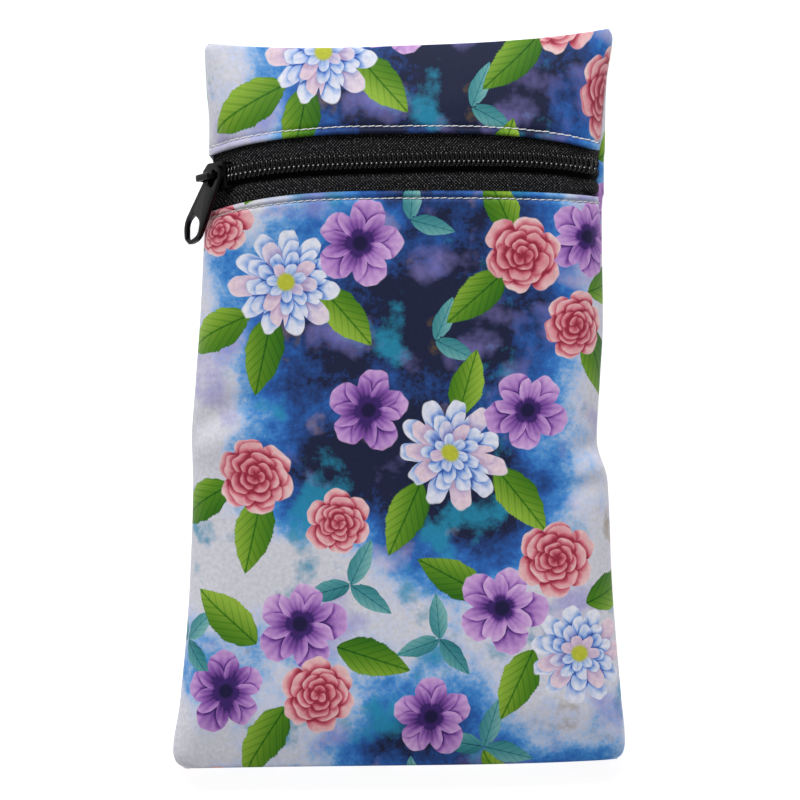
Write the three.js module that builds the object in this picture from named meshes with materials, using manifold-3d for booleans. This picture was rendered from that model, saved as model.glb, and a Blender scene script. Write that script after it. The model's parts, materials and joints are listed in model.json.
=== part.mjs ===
// Phone arm bag: a stretch sleeve that lies on its back, with a zipped phone pocket on its front.
// Millimetres. +X is to the wearer's right of the front, +Y runs along the sleeve towards the zip
// and +Z leaves the front. The back lies on z = 0, and the origin is the middle of its outline.
import * as THREE from 'three';
import { mergeVertices } from 'three/addons/utils/BufferGeometryUtils.js';
import Module from 'manifold-3d';

const wasm = await Module();
wasm.setup();

// Cloth
const clothThick = 1.2;
const seamGap = 0.3;
const seamHeight = 5.2;
const sideLean = 78;
const sideRound = 1.15;
const hemWidth = 2.2;
const hemRise = 0.4;
const hemClear = 1;

// Inner wall between the phone and the arm
const innerThick = 1.0;
const innerCrown = 7.4;
const innerSeam = 4.6;
const innerLean = 70;
const innerRound = 1.2;

// Zip
const zipMiddle = 60.9;
const slitTop = 68.2;
const slitBottom = 53.5;
const tapeThick = 1.0;
const tapeWidth = 12.5;
const tapeInner = 0.5;
const tapeEndGap = 1.6;
const tapeCreases = [0.3, 0.6, 1];
const wedgeClear = { tape: 0.5, tapeEnd: 0.2, coil: 0.6 };
const toothPitch = 1.25;
const toothTip = -0.4;
const toothValley = 1.0;
const coilWidth = 2.6;
const coilFloor = 0.12;
const coilTipTop = 1.7;
const coilBackTop = 2.1;

// Side of the bag where the closed zip turns over with its slider
const zipEndSeam = 3.6;
const zipEndLean = 52;
const zipEndFlank = 9.5;
const zipEndRound = 2.0;

// Slider
const slider = {
  length: 9.2,
  tailHalf: 3.5,
  shoulderHalf: 3.8,
  noseHalf: 1.9,
  plate: 1.0,
  roofUnder: 2.55,
  floorTop: -1.3,
  channelHalf: 2.85,
  flangeUnder: 0.35,
  fromSeam: 5.5,
  wedgeFront: -4.0,
  wedgeWide: -2.8,
  wedgeBack: -1.3,
  wedgeHalf: 1.0,
  corner: 0.8,
  waist: 0.2,
  shoulderShare: 0.62,
  neckShare: 0.45,
  noseDip: 0.9,
};
const bridge = { nose: -3.6, tail: 3.3, bar: 1.25, clear: 2.2, width: 1.8, round: 1.0, fillet: 0.4 };

// Pull tab
const pull = {
  thick: 1.2,
  bevel: 0.25,
  eyeRound: 2.6,
  eyeHole: 1.4,
  eyeSlot: 1.8,
  half: 3.7,
  neck: 4.5,
  neckHalf: 2.8,
  tipStart: 16.0,
  tip: 20.6,
  holeStart: 12.9,
  holeEnd: 19.6,
  holeHalf: 2.1,
  tipShare: 0.35,
  tipFall: 1.4,
  holePoint: 0.6,
  lean: 42,
  aboveSlider: 0.5,
};

// Rows across the front, from the top mouth to the bottom one. y is the row's middle, tilt lifts its
// right end and lowers its left one, dropL and dropR lower the ends, xL and xR are the side seams,
// crown is the height of the front, zipEnd is how far the left side takes the form of the zip's end,
// backL and backR are how far the back swells past the seams, and innerL and innerR are how far in
// from the seams the inner wall ends.
const rowColumns = [
  'y', 'tilt', 'dropL', 'dropR', 'xL', 'xR', 'crown', 'zipEnd', 'backL', 'backR', 'innerL', 'innerR',
];
const rows = [
  [91.1, 1.9, -2.5, -2.5, -49.3, 54.3, 8.9, 0, 0, 0, 1.8, 1.8],
  [89.5, 1.7, -2.2, -2.2, -50.2, 55.2, 9.6, 0, 0, 0, 1.8, 1.8],
  [82, 1.0, 0, 0, -49.7, 53.6, 12, 0.1, 0.5, 0.6, 1.9, 2],
  [74, 0.5, 3, 3, -49.0, 52.4, 13.3, 0.5, 0.3, 1.6, 3.5, 2.7],
  [68.7, 0.2, 5.4, 4.7, -49.2, 51.8, 13.6, 1, 0.1, 2.2, 4.8, 3.6],
  [65.5, 0.2, 4.4, 3.4, -49.4, 51.5, 13.8, 1, 0, 2.3, 6.6, 3.6],
  [56.7, 0.2, 4.4, 3.4, -50.2, 51.5, 13.8, 1, 0, 2.3, 6.6, 3.6],
  [53.5, 0.2, 5.4, 1.6, -49.9, 51.5, 13.6, 1, 0, 1.9, 4.8, 3.6],
  [44, 0, 2.5, 0.5, -50.3, 52.3, 13.6, 0.3, 0, 0.5, 2.6, 2.4],
  [35.8, 0, 0.5, 0, -50.6, 52.5, 13.6, 0, 0, 0, 1.8, 1.8],
  [20.3, 0, 0, 0, -51.4, 52.7, 13.6, 0, 0, 0, 1.8, 1.8],
  [4.8, 0, 0, 0, -52.5, 51.9, 13.6, 0, 0, 0, 1.8, 1.8],
  [-10.7, 0, 0, 0, -53.5, 51.1, 13.6, 0, 0, 0, 1.8, 1.8],
  [-21.1, 0, 0, 0, -53.2, 53.9, 13.6, 0, 0, 0, 1.8, 1.8],
  [-46.9, 0, 0, 0, -54.0, 55.0, 13.6, 0, 0, 0, 1.8, 1.8],
  [-77.9, 0.4, 0.2, -0.6, -56.6, 57.4, 13.2, 0, 0, 0, 1.8, 1.8],
  [-90.4, 0.6, 0.2, -1, -58.4, 58.4, 10.4, 0, 0, 0, 1.8, 1.8],
  [-93.2, 0.6, 0.2, -1, -57.6, 57.8, 9.4, 0, 0, 0, 1.8, 1.8],
  [-94.7, 0.6, 0.2, -1, -55.2, 56.2, 8.9, 0, 0, 0, 1.8, 1.8],
].map((values) => Object.fromEntries(values.map((value, k) => [rowColumns[k], value])));
const endDropPower = 3;

// Soft hollows of the lying cloth: middle along the front (x) and down it (y), turn in degrees,
// half length, half width and depth.
const dents = [
  { x: -48, y: 1, turn: -35, long: 15, wide: 4.5, deep: 1.1 },
  { x: -45, y: -15, turn: -28, long: 14, wide: 4.5, deep: 0.8 },
  { x: 55, y: -14.5, turn: 14, long: 10, wide: 3.5, deep: 1.5 },
  { x: -12, y: 81, turn: 4, long: 26, wide: 5, deep: 0.7 },
  { x: 30, y: -84, turn: -12, long: 16, wide: 6, deep: 0.6 },
];

// The hollows fade out towards the seams.
const dentFade = 8;

// Where the facets run: shares of the half width for the walls, rows along the sleeve for each piece.
const wallShares = [0, 0.2, 0.4, 0.58, 0.7, 0.77, 0.82, 0.87, 0.915, 0.96, 1];
const innerShares = [0, 0.3, 0.6, 0.82, 0.94, 0.97, 1];
const frontLines = 24;
const topLines = 7;
const backLines = 26;
const innerLines = 20;
const backCorner = 5;
const backCornerFacets = 5;
const backPull = 0.45;
const backBelly = 1.6;
const tapeFacets = { bend: 3, front: 16, shoulder: 5 };

const tiny = 1e-4;
const mix = THREE.MathUtils.lerp;
const radians = THREE.MathUtils.degToRad;

function rowAt(y) {
  const below = rows.findIndex((row) => row.y <= y);
  const k = Math.min(Math.max(below < 0 ? rows.length - 1 : below, 1), rows.length - 1);
  const [upper, lower] = [rows[k - 1], rows[k]];
  const share = (upper.y - y) / (upper.y - lower.y);
  const row = {};
  for (const column of Object.keys(upper)) row[column] = mix(upper[column], lower[column], share);
  row.middle = (row.xL + row.xR) / 2;
  row.half = (row.xR - row.xL) / 2;
  return row;
}

// One half of a section: a flat flank up from the seam, a round shoulder and a crowned front.
// roundShare is the shoulder's radius over the height above the flank.
function halfSection({ half, seam, crown, lean, flank, roundShare }) {
  const steep = radians(lean);
  const rise = crown - seam - flank * Math.sin(steep);
  const round = rise * roundShare;
  let slope = 0;
  let flat = 0;
  let swell = 0;
  for (let pass = 0; pass < 8; pass += 1) {
    flat = half - flank * Math.cos(steep) - round * (Math.sin(steep) - Math.sin(slope));
    swell = rise - round * (Math.cos(slope) - Math.cos(steep));
    slope = Math.atan((2 * swell) / flat);
  }
  const bend = round * (steep - slope);
  return { steep, round, slope, flat, swell, bend, crown, length: flat + bend + flank };
}

// Distance out from the middle, height and surface angle at a distance along the section.
function alongSection(s, distance) {
  if (distance <= s.flat) {
    const share = distance / s.flat;
    const angle = Math.atan((2 * s.swell * share) / s.flat);
    return { out: distance, up: s.crown - s.swell * share * share, angle };
  }
  const angle = Math.min(s.slope + (distance - s.flat) / s.round, s.steep);
  const rest = Math.max(distance - s.flat - s.bend, 0);
  return {
    out: s.flat + s.round * (Math.sin(angle) - Math.sin(s.slope)) + rest * Math.cos(s.steep),
    up: s.crown - s.swell - s.round * (Math.cos(s.slope) - Math.cos(angle)) - rest * Math.sin(s.steep),
    angle,
  };
}

function frontSection(row, side) {
  const end = side < 0 ? row.zipEnd : 0;
  return halfSection({
    half: row.half,
    seam: mix(seamHeight, zipEndSeam, end),
    crown: row.crown,
    lean: mix(sideLean, zipEndLean, end),
    flank: zipEndFlank * end,
    roundShare: mix(sideRound, zipEndRound, end),
  });
}

function innerSection(row, side) {
  const inset = side < 0 ? row.innerL : row.innerR;
  const shape = { seam: innerSeam, crown: innerCrown, lean: innerLean, flank: 0, roundShare: innerRound };
  return halfSection({ ...shape, half: row.half - inset });
}

function rowDrop(row, x) {
  const share = (x - row.middle) / row.half;
  const drop = share < 0 ? row.dropL : row.dropR;
  return row.tilt * share - drop * Math.abs(share) ** endDropPower;
}

// A point of a section: distance along it from the middle, row, and height off its outer face.
function onSection(sectionOf, distance, y, height) {
  const row = rowAt(y);
  const side = distance < 0 ? -1 : 1;
  const at = alongSection(sectionOf(row, side), Math.abs(distance));
  const x = row.middle + side * at.out;
  return new THREE.Vector3(
    x + side * Math.sin(at.angle) * height,
    y + rowDrop(row, x),
    at.up + Math.cos(at.angle) * height,
  );
}

const onFront = (distance, y, height) => onSection(frontSection, distance, y, height);

function dentAt(x, y) {
  let depth = 0;
  for (const dent of dents) {
    const turn = radians(dent.turn);
    const [dx, dy] = [x - dent.x, y - dent.y];
    const along = (dx * Math.cos(turn) + dy * Math.sin(turn)) / dent.long;
    const across = (dy * Math.cos(turn) - dx * Math.sin(turn)) / dent.wide;
    depth += dent.deep * Math.exp(-along * along - across * across);
  }
  return depth;
}

// A closed sheet: a box cut into columns and lines whose corners are then put in place.
function bentSheet(columns, lines, place) {
  const geometry = new THREE.BoxGeometry(1, 1, 1, columns, lines, 1);
  geometry.deleteAttribute('normal');
  geometry.deleteAttribute('uv');
  const position = geometry.attributes.position;
  for (let v = 0; v < position.count; v += 1) {
    const column = Math.round((position.getX(v) + 0.5) * columns);
    const line = Math.round((position.getY(v) + 0.5) * lines);
    const point = place(column, line, position.getZ(v) > 0);
    position.setXYZ(v, point.x, point.y, point.z);
  }
  return mergeVertices(geometry, tiny);
}

// Both halves of a list of shares, from the left seam to the right one.
const bothSides = (shares) => [...shares.slice(1).reverse().map((s) => -s), ...shares];

// Rows of a piece: its ends, the table's rows between them and even steps in the longer gaps.
function linesBetween(low, high, count) {
  const fixed = rows.map((row) => row.y).filter((y) => y > low && y < high);
  const ends = [low, ...fixed.reverse(), high];
  const step = (high - low) / count;
  return ends.flatMap((y, k) => {
    if (k === ends.length - 1) return [y];
    const parts = Math.max(1, Math.round((ends[k + 1] - y) / step));
    return Array.from({ length: parts }, (_, part) => mix(y, ends[k + 1], part / parts));
  });
}

// A front wall with a raised hem along the edge beside the zip.
function frontWall(low, high, count, hemEdge) {
  const inwards = Math.sign(low + high - 2 * hemEdge);
  const hemLine = hemEdge + inwards * hemWidth;
  const stepLine = hemLine + inwards * hemRise;
  const clearOfHem = (y) => (y - stepLine) * inwards > hemClear || y === hemEdge;
  const lines = linesBetween(low, high, count).filter(clearOfHem);
  lines.push(hemLine, stepLine);
  lines.sort((a, b) => a - b);
  const shares = bothSides(wallShares);
  return bentSheet(shares.length - 1, lines.length - 1, (column, line, outer) => {
    const y = lines[line];
    const share = shares[column];
    const row = rowAt(y);
    const distance = share * frontSection(row, Math.sign(share)).length;
    const onHem = (hemLine - y) * inwards >= -tiny;
    const sunk = dentAt(distance, y) * (1 - Math.abs(share) ** dentFade);
    const height = (outer ? (onHem ? hemRise : 0) : -clothThick) - sunk;
    return onFront(distance, y, height);
  });
}

// The back: up from the floor to both seams.
function backPoint(row, share, height) {
  const side = Math.sign(share);
  const end = side < 0 ? row.zipEnd : 0;
  const lean = radians(mix(sideLean, zipEndLean, end));
  const rim = mix(seamHeight, zipEndSeam, end) - seamGap - clothThick * Math.cos(lean);
  const edge = side < 0 ? row.xL : row.xR;
  const swell = side * (side < 0 ? row.backL : row.backR);
  const foot = edge - side * backCorner;
  const corner = new THREE.CubicBezierCurve(
    new THREE.Vector2(foot, 0),
    new THREE.Vector2(edge + swell - side * backPull * backCorner, 0),
    new THREE.Vector2(edge + backBelly * swell, backPull * rim),
    new THREE.Vector2(edge, rim),
  );
  const climb = Math.abs(share) - 1;
  const point = climb < 0 ? new THREE.Vector2(foot, 0) : corner.getPoint(climb);
  const tangent = climb <= 0 ? new THREE.Vector2(side, 0) : corner.getTangent(climb);
  point.x -= side * tangent.y * height;
  point.y += side * tangent.x * height;
  return point;
}

function backWall() {
  const lines = linesBetween(rows.at(-1).y, rows[0].y, backLines);
  const corner = Array.from({ length: backCornerFacets + 1 }, (_, k) => 1 + k / backCornerFacets);
  const shares = [...corner.toReversed().map((s) => -s), ...corner];
  return bentSheet(shares.length - 1, lines.length - 1, (column, line, inner) => {
    const row = rowAt(lines[line]);
    const point = backPoint(row, shares[column], inner ? clothThick : 0);
    return new THREE.Vector3(point.x, lines[line] + rowDrop(row, point.x), point.y);
  });
}

function innerWall() {
  const lines = linesBetween(rows.at(-1).y, rows[0].y, innerLines);
  const shares = bothSides(innerShares);
  return bentSheet(shares.length - 1, lines.length - 1, (column, line, upper) => {
    const share = shares[column];
    const distance = share * innerSection(rowAt(lines[line]), Math.sign(share)).length;
    return onSection(innerSection, distance, lines[line], upper ? 0 : -innerThick);
  });
}

const tapeDepth = clothThick + seamGap;
const leftZip = frontSection(rowAt(zipMiddle), -1);
const rightZip = frontSection(rowAt(zipMiddle), 1);
const sliderAt = slider.fromSeam - leftZip.length;
const zipEnd = rightZip.length - tapeEndGap;

const evenSteps = (low, high, count) => Array.from({ length: count }, (_, k) => mix(low, high, k / count));

// A zip tape. Its inner edge keeps close to the coil, and opens round the wedge inside the slider.
function tape(side) {
  const open = [tapeEndGap - leftZip.length, sliderAt + slider.wedgeBack + wedgeClear.tapeEnd];
  const distances = [
    ...open,
    sliderAt - wedgeClear.tapeEnd,
    ...evenSteps(-leftZip.flat - leftZip.bend, -leftZip.flat, tapeFacets.bend),
    ...evenSteps(-leftZip.flat, rightZip.flat, tapeFacets.front),
    ...evenSteps(rightZip.flat, zipEnd, tapeFacets.shoulder),
    zipEnd,
  ];
  const edges = [tapeInner, ...tapeCreases.map((share) => share * tapeWidth)];
  return bentSheet(distances.length - 1, edges.length - 1, (column, line, outer) => {
    const edge = edges[side > 0 ? line : edges.length - 1 - line];
    const inner = column < open.length && edge === tapeInner ? slider.wedgeHalf + wedgeClear.tape : edge;
    return onFront(distances[column], zipMiddle + side * inner, -tapeDepth - (outer ? 0 : tapeThick));
  });
}

// One row of the coil: a bar with pointed teeth that stand between those of the other row.
function coil(side) {
  const start = sliderAt + slider.wedgeBack + wedgeClear.coil;
  const teeth = Math.floor((zipEnd - start) / toothPitch);
  const half = toothPitch / 2;
  return bentSheet(teeth * 2, 1, (column, line, outer) => {
    const atInner = (line === 0) === (side > 0);
    const onTip = (column % 2 === 0) === (side > 0);
    const across = atInner ? (onTip ? toothTip : toothValley) : coilWidth;
    const top = atInner && onTip ? coilTipTop : coilBackTop;
    const height = (outer ? top : coilFloor) - tapeDepth;
    return onFront(start + column * half, zipMiddle + side * across, height);
  });
}

// Turns a closed geometry into a solid that can be joined and cut.
function solidOf(geometry) {
  const bare = geometry.clone();
  bare.deleteAttribute('normal');
  bare.deleteAttribute('uv');
  const merged = mergeVertices(bare, tiny);
  const mesh = new wasm.Mesh({
    numProp: 3,
    vertProperties: new Float32Array(merged.attributes.position.array),
    triVerts: new Uint32Array(merged.index.array),
  });
  mesh.merge();
  return new wasm.Manifold(mesh);
}

function geometryOf(solid) {
  const mesh = solid.getMesh();
  const geometry = new THREE.BufferGeometry();
  geometry.setAttribute('position', new THREE.BufferAttribute(mesh.vertProperties, 3));
  geometry.setIndex(new THREE.BufferAttribute(mesh.triVerts, 1));
  return geometry;
}

// The slider's plan, with its nose towards -X and its tail, where the closed coil leaves, towards +X.
function sliderPlan() {
  const { length, tailHalf, shoulderHalf, noseHalf, corner, waist, noseDip } = slider;
  const end = length / 2;
  const shoulder = -end * slider.shoulderShare;
  const neck = -end * slider.neckShare;
  const plan = new THREE.Shape();
  plan.moveTo(end, -tailHalf + corner);
  plan.lineTo(end, tailHalf - corner);
  plan.quadraticCurveTo(end, tailHalf, end - corner, tailHalf);
  plan.lineTo(0, tailHalf + waist);
  plan.quadraticCurveTo(neck, shoulderHalf, shoulder, shoulderHalf);
  plan.quadraticCurveTo(-end, shoulderHalf, -end, noseHalf);
  plan.quadraticCurveTo(-end + noseDip, 0, -end, -noseHalf);
  plan.quadraticCurveTo(-end, -shoulderHalf, shoulder, -shoulderHalf);
  plan.quadraticCurveTo(neck, -shoulderHalf, 0, -tailHalf - waist);
  plan.lineTo(end - corner, -tailHalf);
  plan.quadraticCurveTo(end, -tailHalf, end, -tailHalf + corner);
  return plan;
}

function extruded(shape, depth, from) {
  const options = { depth, bevelEnabled: false, curveSegments: 4 };
  return new THREE.ExtrudeGeometry(shape, options).translate(0, 0, from);
}

function bridgeArch(roofTop) {
  const { nose, tail, bar, clear, width, round, fillet } = bridge;
  const [foot, under, top] = [roofTop - fillet, roofTop + clear, roofTop + clear + bar];
  const arch = new THREE.Shape();
  arch.moveTo(nose, foot);
  arch.lineTo(nose + bar, foot);
  arch.lineTo(nose + bar, under - fillet);
  arch.quadraticCurveTo(nose + bar, under, nose + bar + fillet, under);
  arch.lineTo(tail - bar - fillet, under);
  arch.quadraticCurveTo(tail - bar, under, tail - bar, under - fillet);
  arch.lineTo(tail - bar, foot);
  arch.lineTo(tail, foot);
  arch.lineTo(tail, top - round);
  arch.quadraticCurveTo(tail, top, tail - round, top);
  arch.lineTo(nose + round, top);
  arch.quadraticCurveTo(nose, top, nose, top - round);
  arch.lineTo(nose, foot);
  return extruded(arch, width, -width / 2).rotateX(Math.PI / 2);
}

function sliderBody() {
  const { plate, roofUnder, floorTop, channelHalf, flangeUnder, length } = slider;
  const { wedgeFront, wedgeWide, wedgeBack, wedgeHalf } = slider;
  const plan = sliderPlan();
  const roof = extruded(plan, roofUnder + plate - flangeUnder, flangeUnder);
  const channelHigh = roofUnder - flangeUnder;
  const channel = new THREE.BoxGeometry(length * 2, channelHalf * 2, channelHigh * 2);
  channel.translate(0, 0, roofUnder - channelHigh);
  const base = extruded(plan, plate, floorTop - plate);
  const wedge = new THREE.Shape();
  wedge.moveTo(wedgeFront, 0);
  wedge.lineTo(wedgeWide, -wedgeHalf);
  wedge.lineTo(wedgeBack, 0);
  wedge.lineTo(wedgeWide, wedgeHalf);
  const post = extruded(wedge, roofUnder - floorTop + plate, floorTop - plate / 2);
  const body = solidOf(roof).subtract(solidOf(channel)).add(solidOf(base)).add(solidOf(post));
  return geometryOf(body.add(solidOf(bridgeArch(roofUnder + plate))));
}

// The pull's plan, with the eye's middle at the origin and the tip towards -Y.
function pullPlan() {
  const { eyeRound, half, neck, neckHalf, tipStart, tip, tipFall, eyeHole, eyeSlot } = pull;
  const { holeStart, holeEnd, holeHalf, holePoint } = pull;
  const tipHalf = half * pull.tipShare;
  const plan = new THREE.Shape();
  plan.absarc(0, 0, eyeRound, 0, Math.PI, false);
  plan.lineTo(-neckHalf, -neck);
  plan.lineTo(-half, -tipStart);
  plan.quadraticCurveTo(-half, -tip + tipFall, -tipHalf, -tip);
  plan.lineTo(tipHalf, -tip);
  plan.quadraticCurveTo(half, -tip + tipFall, half, -tipStart);
  plan.lineTo(neckHalf, -neck);
  plan.lineTo(eyeRound, 0);
  const eye = new THREE.Path();
  eye.absarc(0, 0, eyeHole, Math.PI, 0, true);
  eye.lineTo(eyeHole, -eyeSlot);
  eye.absarc(0, -eyeSlot, eyeHole, 0, -Math.PI, true);
  eye.lineTo(-eyeHole, 0);
  const middle = (holeStart + holeEnd) / 2;
  const hole = new THREE.Path();
  hole.moveTo(0, -holeStart);
  hole.quadraticCurveTo(holeHalf, -holeStart - holePoint, holeHalf, -middle);
  hole.quadraticCurveTo(holeHalf, -holeEnd + holePoint, 0, -holeEnd);
  hole.quadraticCurveTo(-holeHalf, -holeEnd + holePoint, -holeHalf, -middle);
  hole.quadraticCurveTo(-holeHalf, -holeStart - holePoint, 0, -holeStart);
  plan.holes.push(eye, hole);
  return plan;
}

function pullBody() {
  const { thick, bevel } = pull;
  const options = {
    depth: thick - 2 * bevel,
    bevelThickness: bevel,
    bevelSize: bevel,
    bevelOffset: -bevel,
    bevelSegments: 1,
    curveSegments: 5,
  };
  return new THREE.ExtrudeGeometry(pullPlan(), options).translate(0, 0, bevel);
}

// The slider's own frame: X along the zip towards the tail, Z off the tape.
function sliderFrame() {
  const place = (distance, height) => onFront(distance, zipMiddle, height - tapeDepth);
  const along = place(sliderAt + 1, 0).sub(place(sliderAt - 1, 0)).normalize();
  const off = place(sliderAt, 1).sub(place(sliderAt, 0));
  off.addScaledVector(along, -off.dot(along)).normalize();
  const across = new THREE.Vector3().crossVectors(off, along);
  const frame = new THREE.Group();
  frame.applyMatrix4(new THREE.Matrix4().makeBasis(along, across, off).setPosition(place(sliderAt, 0)));
  return frame;
}

const printedCloth = { color: 0x8f9fd0, roughness: 0.62, metalness: 0 };
const plainCloth = { color: 0xd9dae3, roughness: 0.7, metalness: 0 };
const wovenTape = { color: 0x1b1b1d, roughness: 0.75, metalness: 0 };
const nylonCoil = { color: 0x141416, roughness: 0.35, metalness: 0 };
const blackMetal = { color: 0x2a2a2c, roughness: 0.35, metalness: 0.8 };

function piece(name, geometry, look) {
  geometry.computeVertexNormals();
  const mesh = new THREE.Mesh(geometry, new THREE.MeshStandardMaterial(look));
  mesh.name = name;
  return mesh;
}

const bag = new THREE.Group();
bag.add(piece('back_panel', backWall(), printedCloth));
bag.add(piece('pocket_wall', innerWall(), plainCloth));
bag.add(piece('front_panel', frontWall(rows.at(-1).y, slitBottom, frontLines, slitBottom), printedCloth));
bag.add(piece('top_panel', frontWall(slitTop, rows[0].y, topLines, slitTop), printedCloth));
bag.add(piece('zip_tape_upper', tape(1), wovenTape));
bag.add(piece('zip_tape_lower', tape(-1), wovenTape));
bag.add(piece('zip_coil_upper', coil(1), nylonCoil));
bag.add(piece('zip_coil_lower', coil(-1), nylonCoil));

const zipHead = sliderFrame();
zipHead.add(piece('slider', sliderBody(), blackMetal));
const pullTab = piece('pull_tab', pullBody(), blackMetal);
const pivotX = bridge.tail - bridge.bar / 2;
pullTab.position.set(pivotX, 0, slider.roofUnder + slider.plate + pull.aboveSlider);
pullTab.rotation.z = -radians(pull.lean);
zipHead.add(pullTab);
bag.add(zipHead);

export default bag;
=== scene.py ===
import json
import math
from functools import partial

import bpy
import numpy as np
from mathutils import Matrix, Vector


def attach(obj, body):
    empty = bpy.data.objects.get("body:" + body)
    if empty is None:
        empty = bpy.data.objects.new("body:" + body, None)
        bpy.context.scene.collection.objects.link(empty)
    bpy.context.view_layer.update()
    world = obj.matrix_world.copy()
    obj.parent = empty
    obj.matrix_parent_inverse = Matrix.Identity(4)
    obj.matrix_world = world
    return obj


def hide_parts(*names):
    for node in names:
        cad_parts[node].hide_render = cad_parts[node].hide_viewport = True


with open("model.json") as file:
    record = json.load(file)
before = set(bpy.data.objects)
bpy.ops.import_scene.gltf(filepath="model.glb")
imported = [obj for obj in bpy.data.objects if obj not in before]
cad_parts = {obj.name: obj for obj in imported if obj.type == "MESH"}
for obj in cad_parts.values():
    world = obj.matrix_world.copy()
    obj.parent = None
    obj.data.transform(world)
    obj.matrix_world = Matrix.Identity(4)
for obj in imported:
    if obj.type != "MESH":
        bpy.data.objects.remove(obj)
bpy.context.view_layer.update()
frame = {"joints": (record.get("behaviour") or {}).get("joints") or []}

mm = 0.001
print("phone arm bag: frame loaded")


def linear(hexColour):  # sRGB hex to linear RGBA
    parts = [int(hexColour[i:i + 2], 16) / 255 for i in (1, 3, 5)]
    return tuple(c / 12.92 if c <= 0.04045 else ((c + 0.055) / 1.055) ** 2.4 for c in parts) + (1.0,)


def addNode(tree, kind, ins=(), stops=None, **settings):
    made = tree.nodes.new("ShaderNode" + kind)
    for key, value in settings.items():
        setattr(made, key, value)
    if stops:
        ramp = made.color_ramp.elements
        while len(ramp) < len(stops):
            ramp.new(0.5)
        for element, (place, colour) in zip(ramp, stops):
            element.position = place
            element.color = linear(colour)
    pairs = ins.items() if isinstance(ins, dict) else enumerate(ins)
    for key, value in pairs:
        if isinstance(value, bpy.types.Node):
            value = next(out for out in value.outputs if out.enabled)
        if isinstance(value, bpy.types.NodeSocket):
            tree.links.new(value, made.inputs[key])
        else:
            made.inputs[key].default_value = value
    return made


def newMaterial(name):
    made = bpy.data.materials.new(name)
    made.use_nodes = True
    tree = made.node_tree
    return made, tree, tree.nodes["Principled BSDF"]


def deselect():
    if bpy.context.object and bpy.context.object.mode != "OBJECT":
        bpy.ops.object.mode_set(mode="OBJECT")
    bpy.ops.object.select_all(action="DESELECT")


def choose(*pieces):  # the last one becomes the active object
    deselect()
    for piece in pieces:
        piece.select_set(True)
        bpy.context.view_layer.objects.active = piece


def applyAll(piece):
    choose(piece)
    for modifier in list(piece.modifiers):
        bpy.ops.object.modifier_apply(modifier=modifier.name)


# The sleeve's own form, as in the solids: rows across the front from the bottom mouth to the top one.
# y is the row's middle, tilt lifts its right end, dropL and dropR lower the ends, xL and xR are the
# side seams, crown is the height of the front, zipEnd is how far the left side takes the form of the
# zip's end, backL and backR are how far the back swells past the seams, and innerL and innerR are
# how far in from the seams the inner wall ends.
rowColumns = ("y", "tilt", "dropL", "dropR", "xL", "xR", "crown", "zipEnd", "backL", "backR",
              "innerL", "innerR")
rowTable = np.array([
    (-94.7, 0.6, 0.2, -1, -55.2, 56.2, 8.9, 0, 0, 0, 1.8, 1.8),
    (-93.2, 0.6, 0.2, -1, -57.6, 57.8, 9.4, 0, 0, 0, 1.8, 1.8),
    (-90.4, 0.6, 0.2, -1, -58.4, 58.4, 10.4, 0, 0, 0, 1.8, 1.8),
    (-77.9, 0.4, 0.2, -0.6, -56.6, 57.4, 13.2, 0, 0, 0, 1.8, 1.8),
    (-46.9, 0, 0, 0, -54.0, 55.0, 13.6, 0, 0, 0, 1.8, 1.8),
    (-21.1, 0, 0, 0, -53.2, 53.9, 13.6, 0, 0, 0, 1.8, 1.8),
    (-10.7, 0, 0, 0, -53.5, 51.1, 13.6, 0, 0, 0, 1.8, 1.8),
    (4.8, 0, 0, 0, -52.5, 51.9, 13.6, 0, 0, 0, 1.8, 1.8),
    (20.3, 0, 0, 0, -51.4, 52.7, 13.6, 0, 0, 0, 1.8, 1.8),
    (35.8, 0, 0.5, 0, -50.6, 52.5, 13.6, 0, 0, 0, 1.8, 1.8),
    (44, 0, 2.5, 0.5, -50.3, 52.3, 13.6, 0.3, 0, 0.5, 2.6, 2.4),
    (53.5, 0.2, 5.4, 1.6, -49.9, 51.5, 13.6, 1, 0, 1.9, 4.8, 3.6),
    (56.7, 0.2, 4.4, 3.4, -50.2, 51.5, 13.8, 1, 0, 2.3, 6.6, 3.6),
    (65.5, 0.2, 4.4, 3.4, -49.4, 51.5, 13.8, 1, 0, 2.3, 6.6, 3.6),
    (68.7, 0.2, 5.4, 4.7, -49.2, 51.8, 13.6, 1, 0.1, 2.2, 4.8, 3.6),
    (74, 0.5, 3, 3, -49.0, 52.4, 13.3, 0.5, 0.3, 1.6, 3.5, 2.7),
    (82, 1.0, 0, 0, -49.7, 53.6, 12, 0.1, 0.5, 0.6, 1.9, 2),
    (89.5, 1.7, -2.2, -2.2, -50.2, 55.2, 9.6, 0, 0, 0, 1.8, 1.8),
    (91.1, 1.9, -2.5, -2.5, -49.3, 54.3, 8.9, 0, 0, 0, 1.8, 1.8),
])
# seam is the height of the side seams, lean and round are the slope and roundness of the front beside
# them, and the zip's left end has its own, with a straight flank.
sleeve = dict(seam=5.2, lean=78, round=1.15, zipSeam=3.6, zipLean=52, zipFlank=9.5, zipRound=2.0,
              seamGap=0.3, endDrop=3, backCorner=5, backPull=0.45, backBelly=1.6)
inner = dict(crown=7.4, seam=4.6, lean=70, round=1.2)  # the wall between the phone and the arm
seamDraw = dict(at=64.8, half=2.6, deep=1.5, sink=0.5)  # the left seam is drawn in beside the slider
slopeRounds = 8  # enough for the crown's slope to settle


def rowSlopes(x, v):  # slopes of a smooth curve through the rows that never overshoots them
    step = np.diff(v) / np.diff(x)
    same = step[:-1] * step[1:] > 0
    total = np.where(same, step[:-1] + step[1:], 1)
    middle = np.where(same, 2 * step[:-1] * step[1:] / total, 0)
    return np.concatenate([step[:1], middle, step[-1:]])


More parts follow.
